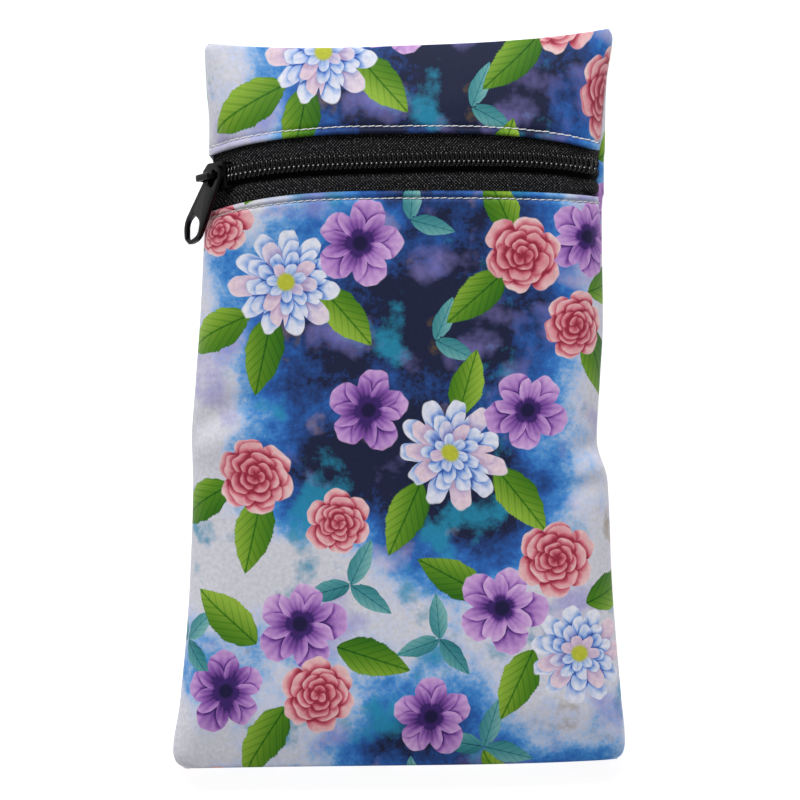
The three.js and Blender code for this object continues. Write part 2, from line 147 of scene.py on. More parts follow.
def rowAt(y):
    x = rowTable[:, 0]
    k = np.clip(np.searchsorted(x, y) - 1, 0, len(x) - 2)
    gap = x[k + 1] - x[k]
    t = np.clip((y - x[k]) / gap, 0, 1)
    row = {}
    for column, name in enumerate(rowColumns[1:], 1):
        v = rowTable[:, column]
        m = rowSlopes(x, v)
        bend = (2 * t**3 - 3 * t**2 + 1) * v[k] + (3 * t**2 - 2 * t**3) * v[k + 1]
        row[name] = bend + gap * ((t**3 - 2 * t**2 + t) * m[k] + (t**3 - t**2) * m[k + 1])
    row["middle"] = (row["xL"] + row["xR"]) / 2
    row["half"] = (row["xR"] - row["xL"]) / 2
    return row


def mix(a, b, share):
    return a + (b - a) * share


def halfSection(half, seam, crown, lean, flank, roundShare):
    steep = np.radians(lean)
    rise = crown - seam - flank * np.sin(steep)
    turn = rise * roundShare
    slope = np.zeros_like(half)
    for _ in range(slopeRounds):
        flat = half - flank * np.cos(steep) - turn * (np.sin(steep) - np.sin(slope))
        swell = rise - turn * (np.cos(slope) - np.cos(steep))
        slope = np.arctan(2 * swell / flat)
    bend = turn * (steep - slope)
    return dict(steep=steep, turn=turn, slope=slope, flat=flat, swell=swell, bend=bend, crown=crown,
                length=flat + bend + flank)


def alongSection(s, distance):  # distance out, height and surface angle
    share = np.minimum(distance / s["flat"], 1)
    early = distance <= s["flat"]
    angle = np.minimum(s["slope"] + (distance - s["flat"]) / s["turn"], s["steep"])
    rest = np.maximum(distance - s["flat"] - s["bend"], 0)
    out = s["flat"] + s["turn"] * (np.sin(angle) - np.sin(s["slope"])) + rest * np.cos(s["steep"])
    up = s["crown"] - s["swell"] - s["turn"] * (np.cos(s["slope"]) - np.cos(angle))
    up = up - rest * np.sin(s["steep"])
    return (np.where(early, distance, out), np.where(early, s["crown"] - s["swell"] * share**2, up),
            np.where(early, np.arctan(2 * s["swell"] * share / s["flat"]), angle))


def frontSection(row, side):
    end = np.where(side < 0, row["zipEnd"], 0)
    return halfSection(row["half"], mix(sleeve["seam"], sleeve["zipSeam"], end), row["crown"],
                       mix(sleeve["lean"], sleeve["zipLean"], end), sleeve["zipFlank"] * end,
                       mix(sleeve["round"], sleeve["zipRound"], end))


def innerSection(row, side):
    inset = np.where(side < 0, row["innerL"], row["innerR"])
    return halfSection(row["half"] - inset, inner["seam"], inner["crown"], inner["lean"], 0, inner["round"])


def rowDrop(row, x):
    share = (x - row["middle"]) / row["half"]
    drop = np.where(share < 0, row["dropL"], row["dropR"])
    return row["tilt"] * share - drop * np.abs(share) ** sleeve["endDrop"]


def onSection(sectionOf, distance, y, height):  # millimetres in, millimetres out
    distance, y, height = np.broadcast_arrays(distance, y, height)
    row = rowAt(y)
    side = np.where(distance < 0, -1, 1)
    out, up, angle = alongSection(sectionOf(row, side), np.abs(distance))
    x = row["middle"] + side * out
    return np.stack([x + side * np.sin(angle) * height, y + rowDrop(row, x),
                     up + np.cos(angle) * height], -1)


def onFront(distance, y, height):
    return onSection(frontSection, distance, y, height)


def frontLength(y, side):
    return frontSection(rowAt(np.asarray(y, float)), np.asarray(side))["length"]


# Cloth panels. edgeTurn is how deep the turned-in seam edges lie, onFace is the lowest height that still
# counts as the face beside a hem, and deepest is how far a turned edge may go under it.
cloth = dict(thick=0.5, step=1.0, columns=133, edgeTurn=(-0.25, -0.7, -1.0), onFace=-0.5, deepest=-1.3)
# The zip's rows on the front, the tape's depth under the cloth, the slider's way from the left seam, and
# the gaps at the zip's ends.
zipPlace = dict(middle=60.9, slitTop=68.2, slitBottom=53.5, depth=1.5, fromSeam=5.5, endGap=1.6,
                tapeGap=0.5)

# A turned edge in section: how far in from the fold, and how high over the cloth's face.
# The hem beside the zip swells between its fold and the groove that the topstitching pulls in.
hemTurn = ((3.4, -1.3), (2.2, -1.28), (1.2, -1.26), (0.55, -1.2), (0.18, -0.95), (0.02, -0.6), (0.0, -0.3),
           (0.05, 0.0), (0.18, 0.25), (0.42, 0.46), (0.75, 0.56), (1.05, 0.52), (1.35, 0.36), (1.6, 0.08),
           (1.8, -0.22), (1.95, -0.34), (2.1, -0.3), (2.35, -0.1), (2.7, 0.05), (3.2, 0.08), (3.8, 0.05),
           (4.6, 0.01))
mouthTurn = ((11, -1.0), (7, -1.0), (4, -1.0), (2, -1.0), (1, -0.98), (0.5, -0.92), (0.16, -0.76),
             (0.02, -0.56), (0.0, -0.4), (0.06, -0.22), (0.22, -0.08), (0.5, -0.01), (1.0, 0.0),
             (1.8, 0.0))

# Soft folds and hollows of the lying cloth: middle along the front (x) and down it (y), turn in
# degrees, half length, half width and depth. A negative depth is a ridge.
folds = (
    (-48, -5, 26, 12, 3.4, 1.5), (-47, -12, 24, 11, 3.5, -0.7), (-45, -22, -28, 14, 4.5, 0.5),
    (54, -12.5, 10, 8, 2.6, 1.3), (53, -17.5, 14, 8, 2.8, -0.9), (50, -22.5, 16, 9, 3, 0.9),
    (-12, 81, 4, 26, 5, 0.7), (30, -84, -12, 16, 6, 0.6), (-50, 4, 20, 8, 4, -0.4),
    (40, -22, 30, 16, 4, 0.35), (-20, 40, 4, 24, 6, 0.3), (20, 30, -14, 22, 7, 0.35),
    (-30, -60, 60, 22, 6, 0.35), (10, -30, -40, 26, 7, 0.3), (36, 78, -10, 12, 4, 0.4),
    (-36, 84, 30, 10, 4, 0.4), (-50, -40, 80, 16, 4, 0.5), (54, -52, 86, 18, 4, 0.5),
    (52, 24, 84, 14, 4, 0.45), (0, -62, 10, 30, 8, -0.25), (12, 6, 70, 20, 6, -0.25),
)
edgeFade = dict(fold=16, hem=14)  # powers by which folds and rolled hems die out at the side seams

# Puckers: the middle of their band from the fold, its half width and depth. The waves along the row are
# in radians for each millimetre, beside the one of the stitches.
stitchPitch = 1.95
puckerForm = dict(at=2.3, half=1.6, deep=0.07, stitchShare=0.5, slow=0.61, shift=1.3, beat=0.173,
                  quick=1.07, quickShare=0.6)


def foldDepth(x, y):
    depth = np.zeros(np.broadcast(x, y).shape)
    for fx, fy, turn, long, wide, deep in folds:
        c, s = math.cos(math.radians(turn)), math.sin(math.radians(turn))
        along = ((x - fx) * c + (y - fy) * s) / long
        across = ((y - fy) * c - (x - fx) * s) / wide
        depth = depth + deep * np.exp(-along**2 - across**2)
    return depth


def pucker(distance, inwards):  # the cloth gathers a little beside a row of topstitching
    form = puckerForm
    near = np.exp(-((inwards - form["at"]) / form["half"]) ** 2)
    wave = form["stitchShare"] * np.sin(distance * 2 * math.pi / stitchPitch)
    wave = wave + np.sin(distance * form["slow"] + form["shift"]) * np.sin(distance * form["beat"])
    wave = wave + form["quickShare"] * np.sin(distance * form["quick"])
    return form["deep"] * near * wave


def clothGrid(name, points, flat):  # points and flat are line by column; the print side faces out
    lines, columns = points.shape[:2]
    deselect()
    bpy.ops.mesh.primitive_grid_add(x_subdivisions=columns - 1, y_subdivisions=lines - 1, size=1)
    piece = bpy.context.object
    piece.name = piece.data.name = name
    count = len(piece.data.vertices)
    place = np.empty(count * 3)
    piece.data.vertices.foreach_get("co", place)
    place = place.reshape(-1, 3)
    column = np.rint((place[:, 0] + 0.5) * (columns - 1)).astype(int)
    line = np.rint((place[:, 1] + 0.5) * (lines - 1)).astype(int)
    piece.data.vertices.foreach_set("co", (points[line, column] * mm).ravel())
    while piece.data.uv_layers:
        piece.data.uv_layers.remove(piece.data.uv_layers[0])
    marks = piece.data.attributes.new("flat", "FLOAT_VECTOR", "POINT")
    spread = np.zeros((count, 3))
    spread[:, :2] = flat[line, column]
    marks.data.foreach_set("vector", spread.ravel())
    piece.data.update()
    return piece


def thicken(piece, thick, materials):
    for material in materials:
        piece.data.materials.append(material)
    wall = piece.modifiers.new("cloth thickness", "SOLIDIFY")
    wall.thickness = thick * mm
    wall.offset = -1
    wall.material_offset = len(materials) - 1
    wall.material_offset_rim = len(materials) - 1
    applyAll(piece)
    bpy.ops.object.shade_smooth()


def evenSteps(low, high, step):
    return np.linspace(low, high, max(2, round(abs(high - low) / step) + 1))


def turnedLines(start, startTurn, end, endTurn):  # y, height and place on the flat cloth of each line
    low = [(start + s, h) for s, h in startTurn]
    high = [(end - s, h) for s, h in reversed(endTurn)]
    middle = [(y, 0.0) for y in evenSteps(low[-1][0], high[0][0], cloth["step"])[1:-1]]
    lines = np.array(low + middle + high)
    steps = np.hypot(*np.diff(lines, axis=0).T)
    run = np.concatenate([[0], np.cumsum(steps)])
    flat = run - run[len(low) - 1] + low[-1][0]
    return lines[:, 0], lines[:, 1], flat


def edgeColumns():  # shares of the half width with the turned-in seam edges at both ends
    shares = np.linspace(-1, 1, cloth["columns"])
    turn = np.array(cloth["edgeTurn"])
    heights = np.concatenate([turn[::-1], np.zeros(len(shares)), turn])
    return np.concatenate([np.full(len(turn), -1), shares, np.full(len(turn), 1)]), heights


def frontPanel(name, start, startTurn, end, endTurn, hemEdge, printFrom):
    y, lift, flatY = turnedLines(start, startTurn, end, endTurn)
    shares, seamLift = edgeColumns()
    reach = np.where(shares < 0, frontLength(y[:, None], -1), frontLength(y[:, None], 1))
    distance = shares * reach
    inwards = np.abs(y - hemEdge)[:, None]
    onFace = (lift > cloth["onFace"])[:, None]
    sunk = foldDepth(distance, y[:, None]) * (1 - np.abs(shares) ** edgeFade["fold"])
    roll = np.maximum(lift[:, None], 0) * np.abs(shares) ** edgeFade["hem"]  # the end seams hold it flat
    height = np.maximum(lift[:, None] - roll + seamLift, cloth["deepest"]) - sunk
    height = height + np.where(onFace, pucker(distance, inwards), 0)
    points = onFront(distance, y[:, None], height)
    flat = np.stack(np.broadcast_arrays(distance - seamLift * np.sign(shares), flatY[:, None]), -1)
    return clothGrid(name, points, flat + printFrom)


backForm = dict(climb=13, floorColumns=60, foldFlat=0.35, leastStep=1e-6)


def backPanel(name, printFrom):
    y, lift, flatY = turnedLines(rowTable[0, 0], mouthTurn, rowTable[-1, 0], mouthTurn)
    row = rowAt(y)
    climb = np.linspace(0, 1, backForm["climb"])
    turn = np.array(cloth["edgeTurn"])
    columns, flats = [], []
    for side in (-1, 1):
        end = row["zipEnd"] if side < 0 else np.zeros_like(y)
        lean = np.radians(mix(sleeve["lean"], sleeve["zipLean"], end))
        drawn = np.exp(-(((y - seamDraw["at"]) / seamDraw["half"]) ** 2)) * (side < 0)
        rim = mix(sleeve["seam"], sleeve["zipSeam"], end) - sleeve["seamGap"] - seamDraw["sink"] * drawn
        edge = row["xL"] + seamDraw["deep"] * drawn if side < 0 else row["xR"]
        swell = side * (row["backL"] if side < 0 else row["backR"])
        corner = sleeve["backCorner"]
        foot = np.stack([edge - side * corner, np.zeros_like(y)], -1)
        knee = np.stack([edge + swell - side * sleeve["backPull"] * corner, np.zeros_like(y)], -1)
        hip = np.stack([edge + sleeve["backBelly"] * swell, sleeve["backPull"] * rim], -1)
        top = np.stack([edge, rim], -1)
        t = climb[None, :, None]
        curve = ((1 - t) ** 3 * foot[:, None] + 3 * (1 - t) ** 2 * t * knee[:, None]
                 + 3 * (1 - t) * t**2 * hip[:, None] + t**3 * top[:, None])
        inside = np.stack([side * np.sin(lean), np.cos(lean)], -1)
        folded = top[:, None] + inside[:, None] * turn[None, :, None] * np.array([1, backForm["foldFlat"]])
        curve = np.concatenate([curve, folded], 1)
        run = np.concatenate([np.zeros((len(y), 1)), np.cumsum(np.hypot(
            np.diff(curve[..., 0]), np.diff(curve[..., 1])), 1)], 1)
        columns.append(curve)
        flats.append(np.abs(foot[:, :1]) + run)
    share = np.linspace(0, 1, backForm["floorColumns"])[None, 1:-1, None]
    floor = columns[0][:, :1] * (1 - share) + columns[1][:, :1] * share
    section = np.concatenate([columns[0][:, ::-1], floor, columns[1]], 1)
    flatX = np.concatenate([-flats[0][:, ::-1], floor[..., 0], flats[1]], 1)
    rise = np.gradient(section[..., 1], axis=1)
    ahead = np.gradient(section[..., 0], axis=1)
    size = np.maximum(np.hypot(rise, ahead), backForm["leastStep"])
    x = section[..., 0] + rise / size * lift[:, None]
    z = section[..., 1] - ahead / size * lift[:, None]
    rowWide = {key: value[:, None] for key, value in row.items()}
    points = np.stack([x, y[:, None] + rowDrop(rowWide, x), np.maximum(z, 0)], -1)
    flat = np.stack(np.broadcast_arrays(flatX, flatY[:, None]), -1)
    return clothGrid(name, points[:, ::-1], flat[:, ::-1] + printFrom)


wallForm = dict(thick=0.6, step=2.5, columns=61, endGap=0.8, sink=0.15)


def pocketWall(name):
    gap = wallForm["endGap"]
    y = evenSteps(rowTable[0, 0] + gap, rowTable[-1, 0] - gap, wallForm["step"])[:, None]
    shares = np.linspace(-1, 1, wallForm["columns"])
    left, right = (innerSection(rowAt(y), np.array(side))["length"] for side in (-1, 1))
    distance = shares * np.where(shares < 0, left, right)
    points = onSection(innerSection, distance, y, -wallForm["sink"])
    return clothGrid(name, points, np.stack(np.broadcast_arrays(distance, y), -1))


# Print: leaves of two kinds and flowers of three, in a repeat. x and y are a motif's middle on the flat
# cloth, reach is its radius, turn is in degrees, and tone picks its shade.
printRepeat = (132, 150)
printFrom = dict(front=(0, 0), top=(-8, -60), back=(38, 22))
fanToneStep = 0.25


def fan(x, y, reach, *turns):  # leaves that meet at one stem, each a step deeper in tone
    leaves = []
    for number, turn in enumerate(turns, 1):
        way = math.radians(turn)
        tone = fanToneStep * number
        leaves.append((x + reach * math.cos(way), y + reach * math.sin(way), reach, turn, tone))
    return leaves


motifs = dict(
    sprig=(*fan(10, -62, 6, 95, 200, -50), *fan(-13, -48, 6.5, 65, -35, 195),
           *fan(22, -90, 6.5, 75, -15, 170), *fan(9, 15, 6, 70, -25), *fan(2, 46, 6, 85, -15),
           *fan(-57, -62, 6, 40, 130, -50)),
    leaf=((-49, 17, 11, 205, 0.3), (-35, 11, 10.5, 262, 0.7), (-14, 21, 10, -48, 0.2),
          (19, 26, 10, 222, 0.6), (25, 51, 9, 112, 0.4), (53, 9, 10.5, -62, 0.8), (31, -26, 10.5, -52, 0.3),
          (1, -31, 10.5, 246, 0.5), (18, 4, 9, 78, 0.2), (-53, -27, 10.5, 208, 0.6),
          (-38, -35, 10.5, 258, 0.4), (57, -49, 10, 22, 0.5), (30, -74, 10, 246, 0.3),
          (13, -46, 10, 152, 0.7), (-45, -56, 10.5, 138, 0.2), (-7, -67, 10, -18, 0.6),
          (-35, -88, 10.5, 238, 0.4), (58, 30, 10, 15, 0.3), (-62, 44, 10, 160, 0.5)),
    aster=((-30, 30, 14.5, 10, 0.15), (14, -14, 14, 50, 0.55), (46, -66, 13.5, 80, 0.85)),
    blossom=((-11, 40, 11.5, 20, 0.25), (-7, -3, 11, 65, 0.75), (34, -3, 10.5, 0, 0.3),
             (48, 42, 11, 40, 0.6), (26, -54, 11.5, 12, 0.2), (-26, -58, 11.5, 30, 0.35),
             (-45, -75, 10.5, 10, 0.8), (8, -82, 10.5, 55, 0.5)),
    rosette=((31, 37, 10.5, 0, 0.2), (45, 19, 9, 80, 0.6), (-37, -20, 10.5, 30, 0.4),
             (-16, -32, 8.5, 50, 0.75), (40, -41, 10, 15, 0.3), (-21, -76, 9.5, 60, 0.9),
             (-48, 46, 9.5, 20, 0.5)),
)

# Broad washes under the flowers: middle, half width, half height and strength. A negative one is pale.
washes = (
    (0, 20, 30, 22, 0.34), (24, 12, 20, 22, 0.22), (-8, -18, 30, 15, 0.36), (24, -30, 22, 12, 0.28),
    (-42, -44, 26, 13, -0.3), (44, -62, 16, 24, -0.3), (-56, 4, 13, 50, -0.26), (-50, -3, 12, 11, -0.3),
    (57, -4, 13, 48, -0.32), (-46, -88, 22, 12, -0.26), (4, -88, 20, 9, 0.24), (26, 48, 24, 8, 0.2),
    (-24, -46, 18, 8, -0.2), (4, -62, 20, 10, -0.14),
)


def wrapped(gap, repeat):
    return (gap + repeat / 2) % repeat - repeat / 2


def layPrint(piece):  # stores the washes, and for each kind where each corner lies in the nearest motif
    mesh = piece.data
    flat = np.empty(len(mesh.vertices) * 3)
    mesh.attributes["flat"].data.foreach_get("vector", flat)
    flat = flat.reshape(-1, 3)[:, :2]
    wash = np.zeros(len(flat))
    for x, y, wide, high, strength in washes:
        across, up = wrapped(flat[:, 0] - x, printRepeat[0]), wrapped(flat[:, 1] - y, printRepeat[1])
        wash += strength * np.exp(-(across / wide) ** 2 - (up / high) ** 2)
    mesh.attributes.new("wash", "FLOAT", "POINT").data.foreach_set("value", wash)
    corner = np.empty(len(mesh.loops), int)
    mesh.loops.foreach_get("vertex_index", corner)
    first, count = np.empty(len(mesh.polygons), int), np.empty(len(mesh.polygons), int)
    mesh.polygons.foreach_get("loop_start", first)
    mesh.polygons.foreach_get("loop_total", count)
    at = flat[corner]
    middle = np.add.reduceat(at, first) / count[:, None]
    face = np.repeat(np.arange(len(count)), count)
    for kind, chart in motifs.items():
        x, y, reach, turn, tone = np.array(chart, float).T
        gap = np.stack([wrapped(middle[:, :1] - x, printRepeat[0]),
                        wrapped(middle[:, 1:] - y, printRepeat[1])], -1)
        near = np.argmin(np.hypot(gap[..., 0], gap[..., 1]) / reach, 1)
        home = middle - gap[np.arange(len(near)), near]
        out = (at - home[face]) / reach[near][face, None]
        c, s = np.cos(np.radians(turn))[near][face], np.sin(np.radians(turn))[near][face]
        spot = np.stack([out[:, 0] * c + out[:, 1] * s, out[:, 1] * c - out[:, 0] * s,
                         tone[near][face]], -1)
        mesh.attributes.new(kind, "FLOAT_VECTOR", "CORNER").data.foreach_set("vector", spot.ravel())


# A petal's size varies by chance, its rim is crisp, one side tucks under the next petal, and it throws a
# soft shadow on the ring below. Lengths are parts of the motif's reach.
petalForm = dict(seedStep=3, least=0.92, spread=0.16, crisp=34, tuckFrom=0.45, tuckWide=0.55,
                 shadowWide=0.13)


def petalRing(node, spot, petals, reach, bow, fall, turn):  # how deep a point lies in a ring of petals
    start = node("Math", [spot["tone"], turn], operation="ADD")
    lap = node("Math", [spot["angle"], petals, start], operation="MULTIPLY_ADD")
    number = node("Math", [node("Math", [lap], operation="FLOOR"), petals], operation="FLOORED_MODULO")
    seed = node("Math", [spot["mark"], petalForm["seedStep"] + turn, number], operation="MULTIPLY_ADD")
    chance = node("TexWhiteNoise", {"W": seed}, noise_dimensions="1D")
    across = node("Math", [node("Math", [lap], operation="FRACT"), 2, -1], operation="MULTIPLY_ADD")
    side = node("Math", [node("Math", [across], operation="ABSOLUTE"), bow], operation="POWER")
    edge = node("Math", [side, -fall, 1], operation="MULTIPLY_ADD")
    size = node("Math", [chance, petalForm["spread"] * reach, petalForm["least"] * reach],
                operation="MULTIPLY_ADD")
    edge = node("Math", [edge, size, spot["ragged"]], operation="MULTIPLY_ADD")
    depth = node("Math", [edge, spot["radius"]], operation="SUBTRACT")
    inside = node("Math", [depth, petalForm["crisp"]], operation="MULTIPLY", use_clamp=True)
    return dict(depth=depth, across=across, chance=chance, inside=inside)


# The shade runs from 0 on the pale rims to 1 in the deepest folds. With it go the outline and the chance
# of the petal on top.
def flowerShade(node, spot, rings, shares):
    shade, outline, chance = 0.0, None, 0.0
    tuckBy, tuckFrom = -1 / petalForm["tuckWide"], -petalForm["tuckFrom"] / petalForm["tuckWide"]
    for level, (petals, reach, bow, fall, turn) in enumerate(rings):
        petal = petalRing(node, spot, petals, reach, bow, fall, turn)
        tuck = node("Math", [petal["across"], tuckBy, tuckFrom], operation="MULTIPLY_ADD", use_clamp=True)
        vein = node("Math", [petal["across"], shares["veins"], spot["grain"]], operation="MULTIPLY_ADD")
        vein = node("Math", [vein], operation="SINE")
        own = node("Math", [petal["depth"], shares["fall"] / reach, shares["rim"] + level * shares["step"]],
                   operation="MULTIPLY_ADD")
        for part, share in ((petal["chance"], "spread"), (tuck, "tuck"), (vein, "vein")):
            own = node("Math", [part, shares[share], own], operation="MULTIPLY_ADD")
        if outline is None:
            outline = petal["inside"]
        else:
            shadow = node("Math", [petal["depth"], 1 / petalForm["shadowWide"], 1], operation="MULTIPLY_ADD",
                          use_clamp=True)
            shade = node("Math", [shadow, shares["shadow"], shade], operation="MULTIPLY_ADD")
        shade = node("Mix", {0: petal["inside"], 2: shade, 3: own}, data_type="FLOAT")
        chance = node("Mix", {0: petal["inside"], 2: chance, 3: petal["chance"]}, data_type="FLOAT")
    return shade, outline, chance


# A leaf's form, how sharp its lines are, and the shares of its shading.
leafForm = dict(plump=0.8, blunt=0.85, veinRise=0.75, crisp=40, veinSharp=9, veinFrom=-3.4, ribSharp=30,
                rimSharp=22, base=0.34, tone=0.35, stripe=-0.4, side=0.5, tip=-0.25, grain=0.05, vein=0.16,
                rib=0.4, rim=0.12)


def leafShade(node, spot, wide, teeth, toothDeep, veins):  # the same for a leaf with its tip along +u
    form = leafForm
    along = node("Math", [spot["u"], 0.5, 0.5], operation="MULTIPLY_ADD", use_clamp=True)
    swell = node("Math", [along, form["plump"]], operation="POWER")
    swell = node("Math", [node("Math", [swell, math.pi], operation="MULTIPLY")], operation="SINE")
    swell = node("Math", [swell, form["blunt"]], operation="POWER")
    side = node("Math", [spot["v"]], operation="ABSOLUTE")
    rise = node("Math", [side, -form["veinRise"], along], operation="MULTIPLY_ADD")
    tooth = node("Math", [node("Math", [rise, teeth], operation="MULTIPLY")], operation="FRACT")
    half = node("Math", [tooth, -toothDeep * wide, wide], operation="MULTIPLY_ADD")
    half = node("Math", [half, spot["ragged"]], operation="ADD")
    half = node("Math", [half, swell], operation="MULTIPLY")
    depth = node("Math", [half, side], operation="SUBTRACT")
    outline = node("Math", [depth, form["crisp"]], operation="MULTIPLY", use_clamp=True)
    stripe = node("Math", [node("Math", [rise, veins], operation="MULTIPLY")], operation="FRACT")
    stripe = node("Math", [node("Math", [stripe, 0.5], operation="SUBTRACT")], operation="ABSOLUTE")
    vein = node("Math", [stripe, form["veinSharp"], form["veinFrom"]], operation="MULTIPLY_ADD",
                use_clamp=True)
    rib = node("Math", [side, -form["ribSharp"], 1], operation="MULTIPLY_ADD", use_clamp=True)
    rim = node("Math", [depth, -form["rimSharp"], 1], operation="MULTIPLY_ADD", use_clamp=True)
    shade = node("Math", [spot["tone"], form["tone"], form["base"]], operation="MULTIPLY_ADD")
    for part, share in ((stripe, "stripe"), (spot["v"], "side"), (along, "tip"), (spot["grain"], "grain"),
                        (vein, "vein"), (rib, "rib"), (rim, "rim")):
        shade = node("Math", [part, form[share], shade], operation="MULTIPLY_ADD")
    return shade, outline


# Each kind of motif with its tints from pale to deep. A leaf has its width, teeth, their depth and its
# veins. A flower has rings of petals from the outside in (how many, reach, bow, fall and turn) and the
# shares of its shading, and some have a throat, a few blushed petals or a plain middle.
motifLooks = dict(
    sprig=dict(
        leaf=(0.42, 3, 0.0, 5),
        tints=((0, "#7fb6b4"), (0.3, "#4b949a"), (0.55, "#2f7d85"), (0.8, "#1c4a63"), (1, "#16334c"))),
    leaf=dict(
        leaf=(0.5, 16, 0.05, 7),
        tints=((0, "#94b83e"), (0.3, "#598a1c"), (0.55, "#357012"), (0.8, "#1b520b"), (1, "#0f3a08"))),
    aster=dict(
        rings=((11, 1.0, 2.6, 0.34, 0.0), (10, 0.78, 2.6, 0.36, 0.4), (9, 0.57, 2.4, 0.36, 0.75),
               (7, 0.37, 2.4, 0.36, 0.2)),
        shares=dict(veins=9, vein=0.06, fall=0.75, rim=0.02, step=0.05, spread=0.18, tuck=0.45, shadow=0.4),
        tints=((0, "#f0eff6"), (0.3, "#d5dcf2"), (0.55, "#a3bbe8"), (0.8, "#5d86d2"), (1, "#33509f")),
        blush=dict(low=0.62, high=0.8, most=0.6, tint="#f0c4cb"),
        middle=dict(sharp=18, size=3.4, tint="#b9bf3a")),
    blossom=dict(
        rings=((5, 1.0, 2.4, 0.34, 0.5), (5, 0.86, 2.2, 0.5, 0.0)),
        shares=dict(veins=16, vein=0.05, fall=1.0, rim=0.04, step=0.02, spread=0.2, tuck=0.3, shadow=0.3),
        tints=((0, "#e6d0ec"), (0.25, "#d0a6dc"), (0.5, "#b585ca"), (0.75, "#8450a6"), (1, "#3d2269")),
        throat=dict(tone=0.22, sharp=5.5, size=1.9, deep=0.6),
        middle=dict(sharp=14, size=2.9, tint="#1a1440")),
    rosette=dict(
        rings=((6, 1.0, 3.0, 0.2, 0.0), (5, 0.8, 3.0, 0.2, 0.35), (5, 0.61, 3.0, 0.2, 0.7),
               (4, 0.43, 3.0, 0.2, 0.15), (3, 0.25, 3.0, 0.2, 0.5)),
        shares=dict(veins=7, vein=0.03, fall=0.9, rim=0.05, step=0.06, spread=0.16, tuck=0.45, shadow=0.5),
        tints=((0, "#f2d8d6"), (0.25, "#e8b6b9"), (0.5, "#dc8a95"), (0.75, "#c45a6c"), (1, "#9a2a41"))),
)


def motifColour(node, kind, look, ragged, rough):  # the tints of one kind of motif, and its outline
    place = node("Attribute", attribute_name=kind).outputs["Vector"]
    u, v, tone = node("SeparateXYZ", [place]).outputs
    level = node("VectorMath", [place, (1.0, 1.0, 0.0)], operation="MULTIPLY")
    radius = node("VectorMath", [level], operation="LENGTH").outputs["Value"]
    lap = node("Math", [v, u], operation="ARCTAN2")
    angle = node("Math", [lap, 1 / (2 * math.pi)], operation="MULTIPLY")
    hundredths = node("Math", [tone, 100], operation="MULTIPLY")
    mark = node("Math", [hundredths], operation="ROUND")  # a whole number, the same all over a motif
    spot = dict(u=u, v=v, tone=tone, mark=mark, radius=radius, angle=angle, ragged=ragged, grain=rough)
    if "leaf" in look:
        shade, outline = leafShade(node, spot, *look["leaf"])
    else:
        shade, outline, chance = flowerShade(node, spot, look["rings"], look["shares"])
    if "throat" in look:
        throat = look["throat"]
        shade = node("Math", [tone, throat["tone"], shade], operation="MULTIPLY_ADD")
        sunk = node("Math", [radius, -throat["sharp"], throat["size"]], operation="MULTIPLY_ADD",
                    use_clamp=True)
        shade = node("Math", [sunk, throat["deep"], shade], operation="MULTIPLY_ADD")
    colour = node("ValToRGB", [shade], stops=look["tints"])
    if "blush" in look:
        blush = look["blush"]
        share = node("MapRange", [chance, blush["low"], blush["high"], 0.0, blush["most"]])
        colour = node("Mix", {0: share, 6: colour, 7: linear(blush["tint"])}, data_type="RGBA")
    if "middle" in look:
        middle = look["middle"]
        share = node("Math", [radius, -middle["sharp"], middle["size"]], operation="MULTIPLY_ADD",
                     use_clamp=True)
        colour = node("Mix", {0: share, 6: colour, 7: linear(middle["tint"])}, data_type="RGBA")
    return colour, outline


# Heat-transfer print on knitted polyester: a smooth face with fine ribs along it, matt with a slight
# sheen, and watercolour that sinks in without a film. The ribs are drawn 0.55 mm apart, about twice
# as coarse as real, so that they show. Sizes of clouds, blots, patches and grain are in millimetres.
printLook = dict(cloud=38, cloudShare=0.8, blot=11, blotShare=0.5, grain=1.1, grainShare=0.16, grainBy=3.0,
                 ragged=2.6, raggedBy=0.12, patch=24, coolShift=(57.0, 21.0, 0.0),
                 warmShift=(-83.0, 140.0, 0.0), thinInk=0.82, rib=0.55, ribDeep=0.05)
printGround = ((0.52, "#d4d4de"), (0.6, "#c8cfe6"), (0.66, "#a3bfe6"), (0.71, "#6da4de"), (0.77, "#3f86cf"),
               (0.84, "#2a64b4"), (0.92, "#234686"), (0.99, "#1c2c58"), (1.0, "#18203f"))
waveRepeat = 0.314  # a wave texture of scale 1 repeats after this length
noiseSpan = (0.3, 0.7)  # most values of a noise texture lie between these


